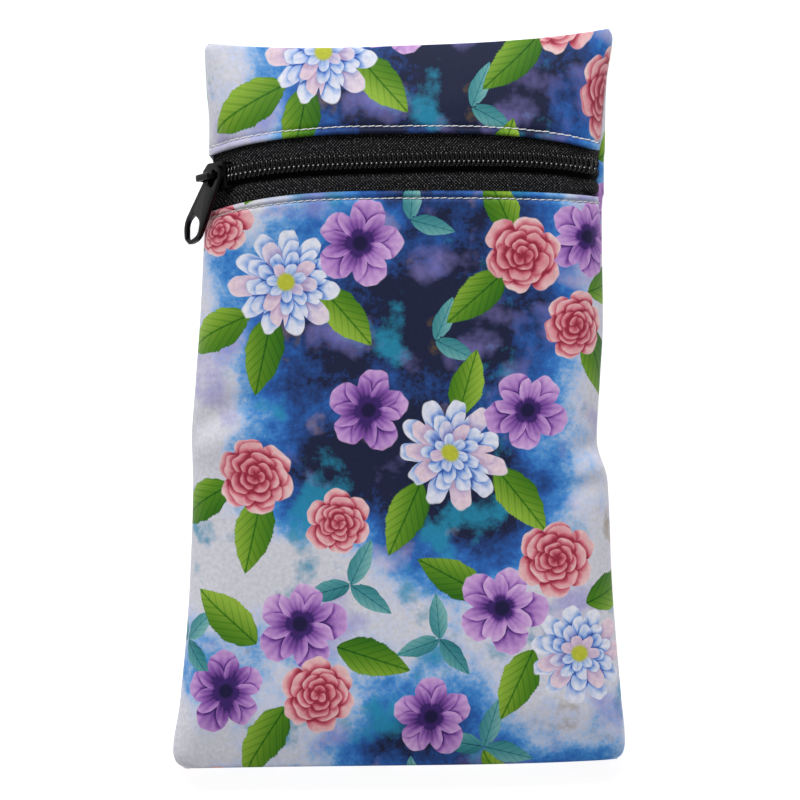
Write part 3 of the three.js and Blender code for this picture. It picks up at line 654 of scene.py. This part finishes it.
def printedKnit():
    made, tree, shader = newMaterial("knitted polyester, heat-transfer printed")
    node = partial(addNode, tree)
    look = printLook
    flat = node("Attribute", attribute_name="flat").outputs["Vector"]
    wash = node("Attribute", attribute_name="wash").outputs["Fac"]
    cloud = node("TexNoise", {"Vector": flat, "Scale": 1 / look["cloud"], "Detail": 7, "Roughness": 0.62,
                              "Distortion": 0.4})
    grain = node("TexNoise", {"Vector": flat, "Scale": 1 / look["grain"], "Detail": 3})
    blot = node("TexNoise", {"Vector": flat, "Scale": 1 / look["blot"], "Detail": 6, "Roughness": 0.7})
    deep = wash
    for noise, share in ((cloud, "cloudShare"), (blot, "blotShare"), (grain, "grainShare")):
        deep = node("Math", [noise, look[share], deep], operation="MULTIPLY_ADD")
    colour = node("ValToRGB", [deep], stops=printGround)
    drift = node("VectorMath", [flat, look["coolShift"]], operation="ADD")
    cool = node("TexNoise", {"Vector": drift, "Scale": 1 / look["patch"], "Detail": 6, "Roughness": 0.6})
    drift = node("VectorMath", [flat, look["warmShift"]], operation="ADD")
    warm = node("TexNoise", {"Vector": drift, "Scale": 1 / look["patch"], "Detail": 5})
    for noise, low, high, most, tint in (
            (cool, 0.56, 0.64, 0.8, "#2590b4"),  # teal
            (cool, 0.38, 0.31, 0.6, "#8a6f2a"),  # ochre
            (warm, 0.56, 0.66, 0.6, "#8f86cf"),  # lilac
            (warm, 0.4, 0.32, 0.45, "#d9bcd4")):  # rose
        share = node("MapRange", [noise, low, high, 0.0, most])
        colour = node("Mix", {0: share, 6: colour, 7: linear(tint)}, data_type="RGBA")
    ragged = node("TexNoise", {"Vector": flat, "Scale": 1 / look["ragged"], "Detail": 0})
    ragged = node("Math", [ragged, look["raggedBy"], -look["raggedBy"] / 2], operation="MULTIPLY_ADD")
    rough = node("Math", [grain, look["grainBy"], -look["grainBy"] / 2], operation="MULTIPLY_ADD")
    for kind, motif in motifLooks.items():
        tinted, outline = motifColour(node, kind, motif, ragged, rough)
        colour = node("Mix", {0: outline, 6: colour, 7: tinted}, data_type="RGBA")
    sunk = node("MapRange", [grain, *noiseSpan, look["thinInk"], 1.0])
    colour = node("Mix", {0: 1.0, 6: colour, 7: sunk}, data_type="RGBA", blend_type="MULTIPLY")
    tree.links.new(colour.outputs[2], shader.inputs["Base Color"])
    rib = node("TexWave", {"Vector": flat, "Scale": waveRepeat / look["rib"], "Distortion": 0.4,
                           "Detail": 1})
    relief = node("Math", [grain, 0.5, rib], operation="MULTIPLY_ADD")
    bump = node("Bump", {"Strength": 0.5, "Distance": look["ribDeep"] * mm, "Height": relief})
    tree.links.new(bump.outputs["Normal"], shader.inputs["Normal"])
    shader.inputs["Roughness"].default_value = 0.58
    shader.inputs["Specular IOR Level"].default_value = 0.15
    shader.inputs["Sheen Weight"].default_value = 0.04
    shader.inputs["Sheen Roughness"].default_value = 0.5
    return made


# Plain knitted polyester, the unprinted side: fine ribs, drawn as coarse as on the face, matt and a
# little grey.
def paleKnit():
    made, tree, shader = newMaterial("knitted polyester, unprinted side")
    node = partial(addNode, tree)
    flat = node("Attribute", attribute_name="flat").outputs["Vector"]
    rib = node("TexWave", {"Vector": flat, "Scale": waveRepeat / printLook["rib"], "Distortion": 1.5})
    tint = node("ValToRGB", [rib], stops=((0, "#c4c4ce"), (1, "#d6d6df")))
    tree.links.new(tint.outputs["Color"], shader.inputs["Base Color"])
    bump = node("Bump", {"Strength": 0.5, "Distance": printLook["ribDeep"] * mm, "Height": rib})
    tree.links.new(bump.outputs["Normal"], shader.inputs["Normal"])
    shader.inputs["Roughness"].default_value = 0.8
    return made


printed, pale = printedKnit(), paleKnit()
frontCloth = frontPanel("front_panel_cloth", rowTable[0, 0], mouthTurn, zipPlace["slitBottom"], hemTurn,
                        zipPlace["slitBottom"], printFrom["front"])
topCloth = frontPanel("top_panel_cloth", zipPlace["slitTop"], hemTurn, rowTable[-1, 0], mouthTurn,
                      zipPlace["slitTop"], printFrom["top"])
backCloth = backPanel("back_panel_cloth", printFrom["back"])
for piece in (frontCloth, topCloth, backCloth):
    thicken(piece, cloth["thick"], [printed, pale])
    layPrint(piece)
wallCloth = pocketWall("pocket_wall_cloth")
thicken(wallCloth, wallForm["thick"], [pale])
print("cloth panels made")


# Zip: woven tapes with a nylon coil sewn along each inner edge, closed up to the slider at the left.
# The lower tape lies in a groove beside its coil, and both tapes bulge a little past the right seam.
tapeForm = dict(width=12.5, inner=0.5, openInner=1.5, openFrom=1.1, thick=0.6, step=0.8, lines=25,
                sag=0.12, sagAlong=0.21, sagAcross=0.5, groove=0.9, grooveAt=3.0, grooveHalf=0.8,
                bulge=1.2, bulgeHalf=3.6, bulgeAt=-2.0, bulgeFrom=6)
# The heads of the lower coil lie over those of the upper one, and are flattened along coinWay.
coilForm = dict(pitch=1.25, wire=0.27, points=16, roundness=2, under=0.35, underRise=0.35, backSlim=0.3,
                startBack=0.7, endGap=3.9, coinWay=(-0.05, 0.38, 0.92),
                upper=dict(lead=0.5, back=2.15, backHigh=0.9, head=-0.4, headHigh=1.05, headSwell=-0.35,
                           coin=0),
                lower=dict(lead=0, back=1.8, backHigh=1.2, head=0.2, headHigh=1.85, headSwell=1.1,
                           coin=0.75))
# At its right end the zip climbs over the edge of the bag, between the hems.
zipRise = dict(high=1.6, fromEnd=7, full=2, clear=6.2, fade=1.2)
zipBow = dict(start=-15, rise=1.8, bend=1.2)
zipLeft, zipRight = (float(frontLength(zipPlace["middle"], side)) for side in (-1, 1))
sliderAt = zipPlace["fromSeam"] - zipLeft


def zipHeight(along, across):  # the tape's face under the cloth's, but over it at the bag's right edge
    fromEnd, fade = zipRise["fromEnd"], zipRise["fade"]
    near = (along - zipRight + zipPlace["endGap"] + fromEnd) / (fromEnd - zipRise["full"])
    near = np.clip(near, 0, 1)
    inside = np.clip((zipRise["clear"] + fade - np.abs(across)) / fade, 0, 1)
    return zipRise["high"] * near**2 * (3 - 2 * near) * inside - zipPlace["depth"]


def zipLine(along):  # the zip bows a little towards the top mouth on its right half
    share = np.clip((along - zipBow["start"]) / (zipRight - zipBow["start"]), 0, 1)
    return zipPlace["middle"] + zipBow["rise"] * share ** zipBow["bend"]


def zipTape(name, side):
    form = tapeForm
    along = evenSteps(zipPlace["tapeGap"] - zipLeft, zipRight - zipPlace["tapeGap"], form["step"])
    start = np.where(along < sliderAt - form["openFrom"], form["openInner"], form["inner"])
    across = mix(start, form["width"], np.linspace(0, 1, form["lines"])[:, None])[::side]
    sag = form["sag"] * np.sin(along * form["sagAlong"] + side) * np.sin(across * form["sagAcross"])
    groove = form["groove"] * np.exp(-(((across - form["grooveAt"]) / form["grooveHalf"]) ** 2)) * (side < 0)
    ending = np.clip((along - along[-1]) / form["bulgeFrom"] + 1, 0, 1)
    bulge = ending * np.exp(-(((side * across - form["bulgeAt"]) / form["bulgeHalf"]) ** 4))
    points = onFront(along + form["bulge"] * bulge, zipLine(along) + side * across,
                     zipHeight(along, across) - np.maximum(sag, 0) - groove)
    # the weave is drawn out on the turned left end, so that it shows from above
    seen = np.maximum(along, points[..., 0] - rowAt(zipPlace["middle"])["middle"])
    return clothGrid(name, points, np.stack([seen, side * across], -1))


def zipCoil(name, side):
    form, tip = coilForm, coilForm["upper" if side > 0 else "lower"]
    start = sliderAt - form["startBack"]
    loops = math.floor((zipRight - form["endGap"] - start) / form["pitch"])
    lap = np.arange(loops * form["points"]) / form["points"]
    turn = 2 * math.pi * lap
    reach = (1 + np.cos(turn)) / 2  # 1 at the head, 0 at the back
    upper = mix(tip["backHigh"], tip["headHigh"], reach)
    lower = mix(form["under"], form["under"] + form["underRise"], reach)
    height = mix(lower, upper, (1 - np.sin(turn)) / 2)
    along = start + (lap + tip["lead"]) * form["pitch"]
    across = mix(tip["back"], tip["head"], reach)
    points = onFront(along, zipLine(along) + side * across, height + zipHeight(along, across))
    drawn = bpy.data.curves.new(name, "CURVE")
    drawn.dimensions = "3D"
    drawn.bevel_depth = form["wire"] * mm
    drawn.bevel_resolution = form["roundness"]
    drawn.use_fill_caps = True
    spline = drawn.splines.new("POLY")
    spline.points.add(len(points) - 1)
    spline.points.foreach_set("co", np.column_stack([points * mm, np.ones(len(points))]).ravel())
    swell = 1 + tip["headSwell"] * reach**3 - form["backSlim"] * (1 - reach) ** 3
    spline.points.foreach_set("radius", swell)
    coil = bpy.data.objects.new(name, drawn)
    bpy.context.scene.collection.objects.link(coil)
    choose(coil)
    bpy.ops.object.convert(target="MESH")
    bpy.ops.object.shade_smooth()
    coil = bpy.context.object
    place = np.empty(len(coil.data.vertices) * 3)
    coil.data.vertices.foreach_get("co", place)
    sides = 4 + 2 * form["roundness"]  # corners round the wire
    tube = place[-len(points) * sides * 3:].reshape(len(points), sides, 3)  # after the caps' own corners
    coinWay = np.array(form["coinWay"])
    out = (tube - points[:, None] * mm) @ coinWay
    tube -= (tip["coin"] * reach[:, None] * out)[..., None] * coinWay
    coil.data.vertices.foreach_set("co", place)
    coil.data.update()
    return coil


# Woven polyester tape, dyed black: a herringbone of fine threads, with a painted highlight of lighter colour
# on
# # their crowns and a painted shadow of the lower coil as a dark band beside it. The threads are drawn 0.8
# mm
# # apart, about twice as coarse as real, so that they show.
tapeLook = dict(stray=1.6, strayBy=0.5, zigzag=3.2, twill=0.86, thread=0.8, fuzz=0.7, fuzzShare=2.4,
                low=0.3, high=2.5, coilShadeAt=-2.4, coilShadeFrom=0.55, coilShadeTo=1.15, threadDeep=0.12)


def blackTape():
    made, tree, shader = newMaterial("woven polyester tape, dyed black")
    node = partial(addNode, tree)
    look = tapeLook
    flat = node("Attribute", attribute_name="flat").outputs["Vector"]
    stray = node("TexNoise", {"Vector": flat, "Scale": 1 / look["stray"], "Detail": 2}).outputs["Color"]
    bent = node("VectorMath", [stray, (look["strayBy"], look["strayBy"], 0.0), flat],
                operation="MULTIPLY_ADD")
    along, across, _ = node("SeparateXYZ", [bent]).outputs
    slant = node("Math", [across, look["zigzag"]], operation="PINGPONG")
    rise = node("Math", [along, slant], operation="ADD")
    rise = node("Math", [rise, 2 * math.pi / look["twill"]], operation="MULTIPLY")
    fall = node("Math", [along, slant], operation="SUBTRACT")
    fall = node("Math", [fall, 2 * math.pi / look["thread"]], operation="MULTIPLY")
    thread = node("Math", [node("Math", [fall], operation="SINE"), 0.5, 0.5], operation="MULTIPLY_ADD")
    weave = node("Math", [thread, node("Math", [rise], operation="SINE")], operation="MULTIPLY")
    fuzz = node("TexNoise", {"Vector": flat, "Scale": 1 / look["fuzz"], "Detail": 2})
    weave = node("Math", [fuzz, look["fuzzShare"], weave], operation="MULTIPLY_ADD")
    weave = node("MapRange", [weave, look["low"], look["high"], 0.0, 1.0])
    # painted highlight: the ramp turns the weave's crowns and fuzz light grey, standing in for the light the
    # threads catch
    tint = node("ValToRGB", [weave], stops=((0.3, "#121213"), (0.6, "#1d1d1f"), (1.0, "#828284")))
    # painted shadow: the lower tape is painted near-black (#0a0a0a) within about a millimetre of its coil,
    # where the coil's shade falls; woven is the share outside this painted shadow
    fromCoilShade = node("Math", [node("SeparateXYZ", [flat]).outputs["Y"], look["coilShadeAt"]], operation="SUBTRACT")
    fromCoilShade = node("Math", [fromCoilShade], operation="ABSOLUTE")
    woven = node("MapRange", [fromCoilShade, look["coilShadeFrom"], look["coilShadeTo"], 0.0, 1.0])
    tint = node("Mix", {0: woven, 6: linear("#0a0a0a"), 7: tint}, data_type="RGBA")
    tree.links.new(tint.outputs[2], shader.inputs["Base Color"])
    bump = node("Bump", {"Strength": 0.8, "Distance": look["threadDeep"] * mm, "Height": weave})
    tree.links.new(bump.outputs["Normal"], shader.inputs["Normal"])
    shader.inputs["Roughness"].default_value = 0.6
    shader.inputs["Specular IOR Level"].default_value = 0.02
    return made


# Nylon monofilament, drawn and dyed black: smooth and glossy, so each loop's head shows a small light.
nylonLook = dict(streak=0.8, gloss=(0.1, 0.16))


def blackNylon():
    made, tree, shader = newMaterial("nylon monofilament, dyed black")
    node = partial(addNode, tree)
    where = node("TexCoord").outputs["Object"]
    streak = node("TexNoise", {"Vector": where, "Scale": 1 / (nylonLook["streak"] * mm), "Detail": 2})
    rough = node("MapRange", [streak, *noiseSpan, *nylonLook["gloss"]])
    tree.links.new(rough.outputs["Result"], shader.inputs["Roughness"])
    shader.inputs["Base Color"].default_value = linear("#050506")
    shader.inputs["IOR"].default_value = 1.53
    shader.inputs["Specular IOR Level"].default_value = 0.6
    return made


tapeBlack, coilBlack = blackTape(), blackNylon()
tapes, coils = [], []
for side, place in ((1, "upper"), (-1, "lower")):
    tape = zipTape("zip_tape_" + place + "_woven", side)
    thicken(tape, tapeForm["thick"], [tapeBlack])
    tapes.append(tape)
    coil = zipCoil("zip_coil_" + place + "_wire", side)
    coil.data.materials.append(coilBlack)
    coils.append(coil)
print("zip made")


# Die-cast zinc under black stove enamel: smooth with a trace of orange peel, glossy and deep black, and
# # rubbed dull on the face of the pull, whose base colour is painted a little greyer as a painted
# reflection.
enamelLook = dict(peel=1.2, peelDeep=0.05, glossSpread=0.1)


def blackEnamel(name, sheen, gloss, tones):
    made, tree, shader = newMaterial(name)
    node = partial(addNode, tree)
    where = node("TexCoord").outputs["Object"]
    peel = node("TexNoise", {"Vector": where, "Scale": 1 / (enamelLook["peel"] * mm), "Detail": 2})
    bump = node("Bump", {"Strength": 0.15, "Distance": enamelLook["peelDeep"] * mm, "Height": peel})
    tree.links.new(bump.outputs["Normal"], shader.inputs["Normal"])
    rough = node("MapRange", [peel, *noiseSpan, gloss, gloss + enamelLook["glossSpread"]])
    tree.links.new(rough.outputs["Result"], shader.inputs["Roughness"])
    tint = node("ValToRGB", [peel], stops=((0.3, tones[0]), (0.8, tones[1])))
    tree.links.new(tint.outputs["Color"], shader.inputs["Base Color"])
    shader.inputs["Specular IOR Level"].default_value = sheen
    return made


blackZinc = blackEnamel("die-cast zinc, black enamel", sheen=0.13, gloss=0.16,
                        tones=("#050505", "#080809"))
# painted reflection: the pull face's greyer tones stand in for the light that its flat face reflects
dullZincPaintedReflection = blackEnamel("die-cast zinc, black enamel rubbed dull", sheen=0.16, gloss=0.36,
                         tones=("#131314", "#1a1a1b"))


# Slider and pull, in the slider's own frame: x along the zip, y across it, z off the tape. A corner is
# x, y, and how far back from it its curve starts, and a plate lies between two heights.
sliderForm = dict(
    plan=((4.6, -3.5, 0.8), (4.6, 3.5, 0.8), (0, 3.6, 1.0), (-1.6, 3.8, 0.8), (-4.6, 1.6, 1.3),
          (-4.3, 0, 0.8), (-4.6, -1.6, 1.3), (-1.6, -3.8, 0.8), (0, -3.6, 1.0)),
    flange=((4.5, 2.85, 0.1), (4.5, 3.45, 0.3), (0, 3.55, 1.0), (-1.6, 3.65, 0.5), (-2.6, 2.85, 0.2)),
    wedge=((-4.0, 0, 0.1), (-2.8, -1.0, 0.3), (-1.3, 0, 0.1), (-2.8, 1.0, 0.3)),
    bridge=((-3.6, 3.1, 0), (-2.35, 3.1, 0), (-2.35, 5.75, 0.6), (2.05, 5.75, 0.6), (2.05, 3.1, 0),
            (3.3, 3.1, 0), (3.3, 7.0, 1.4), (-3.6, 7.0, 1.4)),
    roof=(2.55, 3.55), floor=(-2.3, -1.3), edge=0.28, flangeHigh=(0.35, 2.85), flangeEdge=0.15,
    wedgeHigh=(-1.9, 3.15), wedgeEdge=0.1, bridgeWide=1.8, bridgeEdge=0.55)
pullForm = dict(
    plan=((2.25, 2.5, 2.1), (-2.25, 2.5, 2.1), (-2.3, -0.5, 1.5), (-2.8, -4.5, 2.0), (-3.8, -17.6, 2.6),
          (-1.2, -20.6, 0.5), (1.2, -20.6, 0.5), (3.8, -17.6, 2.6), (2.8, -4.5, 2.0), (2.3, -0.5, 1.5)),
    eye=((1.3, 1.4, 1.2), (-1.3, 1.4, 1.2), (-1.3, -3.4, 1.2), (1.3, -3.4, 1.2)),
    hole=((1.5, -12.9, 1.3), (-1.5, -12.9, 1.3), (-2.9, -16.5, 1.8), (-0.6, -20.0, 0.5), (0.6, -20.0, 0.5),
          (2.9, -16.5, 1.8)),
    face=((1.9, -3.7, 0.7), (-1.6, -3.7, 0.7), (-2.3, -12.2, 0.4), (-1.3, -12.9, 0.3), (1.4, -12.9, 0.3),
          (2.35, -14.2, 0.3), (3.0, -14.0, 0.3)),
    thick=1.2, edge=0.28, faceDeep=0.2, faceHigh=0.04, faceEdge=0.03, lean=42, at=(2.675, 0, 4.05))
castForm = dict(cornerSteps=7, leastGap=0.06, merge=0.01, flatAngle=1, edgeSegments=3, edgeAngle=50,
                smoothAngle=38)


def roundedOutline(corners):
    corners = np.array(corners, float)
    points = []
    for k, (x, y, back) in enumerate(corners):
        here = np.array([x, y])
        sides = [corners[(k + step) % len(corners), :2] - here for step in (-1, 1)]
        start, end = (here + side / np.linalg.norm(side) * back for side in sides)
        for t in np.linspace(0, 1, castForm["cornerSteps"] if back else 1):
            points.append((1 - t) ** 2 * start + 2 * t * (1 - t) * here + t**2 * end)
    points = np.array(points)
    apart = np.linalg.norm(points - np.roll(points, 1, 0), axis=1) > castForm["leastGap"]
    return points[apart]


def castPlate(name, outlines, low, high, edge):  # a flat curve and its holes, made solid with rounded edges
    drawn = bpy.data.curves.new(name, "CURVE")
    drawn.dimensions = "2D"
    drawn.fill_mode = "BOTH"
    for corners in outlines:
        outline = roundedOutline(corners) * mm
        spline = drawn.splines.new("POLY")
        spline.points.add(len(outline) - 1)
        spline.points.foreach_set("co", np.pad(outline, ((0, 0), (0, 2))).ravel())
        spline.use_cyclic_u = True
    plate = bpy.data.objects.new(name, drawn)
    bpy.context.scene.collection.objects.link(plate)
    choose(plate)
    bpy.ops.object.convert(target="MESH")
    plate = bpy.context.object
    bpy.ops.object.mode_set(mode="EDIT")
    bpy.ops.mesh.select_all(action="SELECT")
    bpy.ops.mesh.remove_doubles(threshold=castForm["merge"] * mm)
    bpy.ops.mesh.dissolve_limited(angle_limit=math.radians(castForm["flatAngle"]))
    bpy.ops.transform.translate(value=(0, 0, low * mm))
    bpy.ops.mesh.extrude_region_move(TRANSFORM_OT_translate={"value": (0, 0, (high - low) * mm)})
    bpy.ops.mesh.select_all(action="SELECT")
    bpy.ops.mesh.normals_make_consistent(inside=False)
    bpy.ops.object.mode_set(mode="OBJECT")
    rounding = plate.modifiers.new("cast edges", "BEVEL")
    rounding.width = edge * mm
    rounding.segments = castForm["edgeSegments"]
    rounding.limit_method = "ANGLE"
    rounding.angle_limit = math.radians(castForm["edgeAngle"])
    applyAll(plate)
    return plate


def sliderCasting(name):
    form = sliderForm
    roof = castPlate("roof", [form["plan"]], *form["roof"], form["edge"])
    floorPlate = castPlate("floor plate", [form["plan"]], *form["floor"], form["edge"])
    flanges = []
    for side in (1, -1):
        corners = [(x, side * y, back) for x, y, back in form["flange"]]
        flanges.append(castPlate("flange", [corners], *form["flangeHigh"], form["flangeEdge"]))
    wedge = castPlate("wedge", [form["wedge"]], *form["wedgeHigh"], form["wedgeEdge"])
    half = form["bridgeWide"] / 2
    arch = castPlate("bridge", [form["bridge"]], -half, half, form["bridgeEdge"])
    arch.data.transform(Matrix.Rotation(math.radians(90), 4, "X"))
    choose(floorPlate, *flanges, wedge, arch, roof)
    bpy.ops.object.join()
    roof.name = roof.data.name = name
    return roof


def pullCasting(name):
    form = pullForm
    tab = castPlate(name, [form["plan"], form["eye"], form["hole"]], 0, form["thick"], form["edge"])
    low, high = form["thick"] - form["faceDeep"], form["thick"] + form["faceHigh"]
    face = castPlate("pull face", [form["face"]], low, high, form["faceEdge"])
    tab.data.materials.append(blackZinc)
    # the pull's face takes the enamel whose greyer base colour is a painted reflection
    face.data.materials.append(dullZincPaintedReflection)
    choose(face, tab)
    bpy.ops.object.join()
    tab.data.transform(Matrix.Rotation(math.radians(-form["lean"]), 4, "Z"))
    tab.data.transform(Matrix.Translation(Vector(form["at"]) * mm))
    return tab


# the slider stands square to the tape, with its bridge's leg on the joint's axis
hinge = frame["joints"][0]
ahead, behind = (Vector(onFront(sliderAt + step, zipPlace["middle"], -zipPlace["depth"]))
                 for step in (1, -1))
off = Vector(hinge["axis"]).normalized()
along = (ahead - behind).normalized()
across = off.cross(along)
home = Vector(hinge["pos_m"]) - along * pullForm["at"][0] * mm - off * pullForm["at"][2] * mm
sliderPlace = Matrix((along, across, off)).transposed().to_4x4()
sliderPlace.translation = home
slider = sliderCasting("slider_casting")
slider.data.materials.append(blackZinc)
pull = pullCasting("pull_tab_casting")
for piece in (slider, pull):
    piece.data.transform(sliderPlace)
    choose(piece)
    bpy.ops.object.shade_smooth_by_angle(angle=math.radians(castForm["smoothAngle"]))
print("slider and pull made")


# Topstitching of white thread beside each hem: short stitches that dive into the cloth at their ends.
stitchForm = dict(length=1.98, thread=0.16, slim=0.45, ply=0.45, plyDeep=0.05, fromFold=1.95, fromSeam=1.5,
                  high=-0.06, dive=0.22, slant=0.09, rings=7, sides=6, stray=0.07, strayHigh=0.3)


def stitchRow(name, fold, inwards, seed):
    form = stitchForm
    chance = np.random.default_rng(seed)
    y = fold + inwards * form["fromFold"]
    low, high = (side * (float(frontLength(y, side)) - form["fromSeam"]) for side in (-1, 1))
    middle = np.arange(low, high, stitchPitch)[:, None, None]
    stray = chance.uniform(-1, 1, (3, len(middle), 1, 1)) * form["stray"]
    share = np.linspace(-1, 1, form["rings"])[:, None]
    circle = np.linspace(0, 2 * math.pi, form["sides"], endpoint=False)
    ending = np.abs(share) ** 3
    thread = form["thread"] * (1 - form["slim"] * ending)
    distance = middle + stray[0] + share * form["length"] / 2
    height = form["high"] - form["dive"] * ending + thread * np.sin(circle) + stray[1] * form["strayHigh"]
    points = onFront(distance, y + stray[2] + share * form["slant"] + thread * np.cos(circle), height)
    count, rings, sides = points.shape[:3]
    ring = np.arange(rings * sides).reshape(rings, sides)
    beside = np.roll(ring, -1, 1)
    quads = np.stack([ring[:-1], beside[:-1], beside[1:], ring[1:]], -1).reshape(-1, 4)
    faces = (quads + np.arange(count)[:, None, None] * rings * sides).reshape(-1, 4)
    mesh = bpy.data.meshes.new(name)
    mesh.from_pydata((points.reshape(-1, 3) * mm).tolist(), [], faces.tolist())
    row = bpy.data.objects.new(name, mesh)
    bpy.context.scene.collection.objects.link(row)
    choose(row)
    bpy.ops.object.mode_set(mode="EDIT")
    bpy.ops.mesh.select_all(action="SELECT")
    bpy.ops.mesh.fill_holes(sides=form["sides"])
    bpy.ops.mesh.normals_make_consistent(inside=False)
    bpy.ops.object.mode_set(mode="OBJECT")
    bpy.ops.object.shade_smooth()
    return row


# Spun polyester sewing thread, white: matt, with the twist of its two plies.
def whiteThread():
    made, tree, shader = newMaterial("spun polyester thread, white")
    node = partial(addNode, tree)
    where = node("TexCoord").outputs["Object"]
    scale = waveRepeat / (stitchForm["ply"] * mm)
    ply = node("TexWave", {"Vector": where, "Scale": scale, "Distortion": 1.0}, bands_direction="DIAGONAL")
    tint = node("ValToRGB", [ply], stops=((0, "#cfcfd2"), (1, "#f2f2f2")))
    tree.links.new(tint.outputs["Color"], shader.inputs["Base Color"])
    bump = node("Bump", {"Strength": 0.5, "Distance": stitchForm["plyDeep"] * mm, "Height": ply})
    tree.links.new(bump.outputs["Normal"], shader.inputs["Normal"])
    shader.inputs["Roughness"].default_value = 0.7
    return made


thread = whiteThread()
lowerStitches = stitchRow("hem_stitches_lower", zipPlace["slitBottom"], inwards=-1, seed=5)
upperStitches = stitchRow("hem_stitches_upper", zipPlace["slitTop"], inwards=1, seed=8)
for row in (lowerStitches, upperStitches):
    row.data.materials.append(thread)
print("stitches made")

for piece, node, slot, body in (
        (frontCloth, "front_panel", "printed_cloth", "bag"),
        (topCloth, "top_panel", "printed_cloth", "bag"),
        (backCloth, "back_panel", "printed_cloth", "bag"),
        (wallCloth, "pocket_wall", "inner_cloth", "bag"),
        (tapes[0], "zip_tape_upper", "zip_tape", "bag"),
        (tapes[1], "zip_tape_lower", "zip_tape", "bag"),
        (coils[0], "zip_coil_upper", "zip_coil", "bag"),
        (coils[1], "zip_coil_lower", "zip_coil", "bag"),
        (slider, "slider", "slider_metal", "bag"),
        (pull, "pull_tab", "slider_metal", "pull")):
    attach(piece, body)
    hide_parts(node)
for row in (lowerStitches, upperStitches):
    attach(row, "bag")

print("pieces joined to the frame")

# Camera and light: straight above, as the photo is taken, with one wide soft light from beyond the top
# mouth and an even sky.
view = dict(pixelsPerMm=3.87, imageSize=800, originAt=(399, 398.5), lens=400, sensor=36, focusHeight=5)
pixel = mm / view["pixelsPerMm"]
half = view["imageSize"] / 2
distance = view["imageSize"] * pixel * view["lens"] / view["sensor"]
cameraData = bpy.data.cameras.new("camera")
cameraData.lens = view["lens"]
cameraData.sensor_width = view["sensor"]
camera = bpy.data.objects.new("camera", cameraData)
camera.location = ((half - view["originAt"][0]) * pixel, (view["originAt"][1] - half) * pixel,
                   distance + view["focusHeight"] * mm)
bpy.context.scene.collection.objects.link(camera)
bpy.context.scene.camera = camera

# A white paper sweep, matt. It glows a little, which keeps it white under the bag's edges.
studio = dict(floorSize=3, floorDrop=0.3, floorGlow=0.82, sky=0.34)
deselect()
bpy.ops.mesh.primitive_plane_add(size=studio["floorSize"], location=(0, 0, -studio["floorDrop"] * mm))
floor = bpy.context.object
floor.name = "floor"
floorPaper, _, floorShader = newMaterial("white paper sweep, matt")
floorShader.inputs["Base Color"].default_value = linear("#bcbcbc")
floorShader.inputs["Roughness"].default_value = 0.9
floorShader.inputs["Emission Color"].default_value = linear("#ffffff")
floorShader.inputs["Emission Strength"].default_value = studio["floorGlow"]
floor.data.materials.append(floorPaper)

softbox = dict(size=1.0, at=(-0.25, 1.6, 1.6), power=43)
lamp = bpy.data.lights.new("key softbox", "AREA")
lamp.size = softbox["size"]
lamp.energy = softbox["power"]
lampObject = bpy.data.objects.new("key softbox", lamp)
lampObject.location = softbox["at"]
lampObject.rotation_euler = (-Vector(softbox["at"])).to_track_quat("-Z", "Y").to_euler()
bpy.context.scene.collection.objects.link(lampObject)
world = bpy.data.worlds.new("studio")
world.use_nodes = True
sky = world.node_tree.nodes["Background"].inputs
sky["Color"].default_value = linear("#ffffff")
sky["Strength"].default_value = studio["sky"]
bpy.context.scene.world = world
bpy.context.scene.view_settings.view_transform = "Standard"
print("camera and light set")
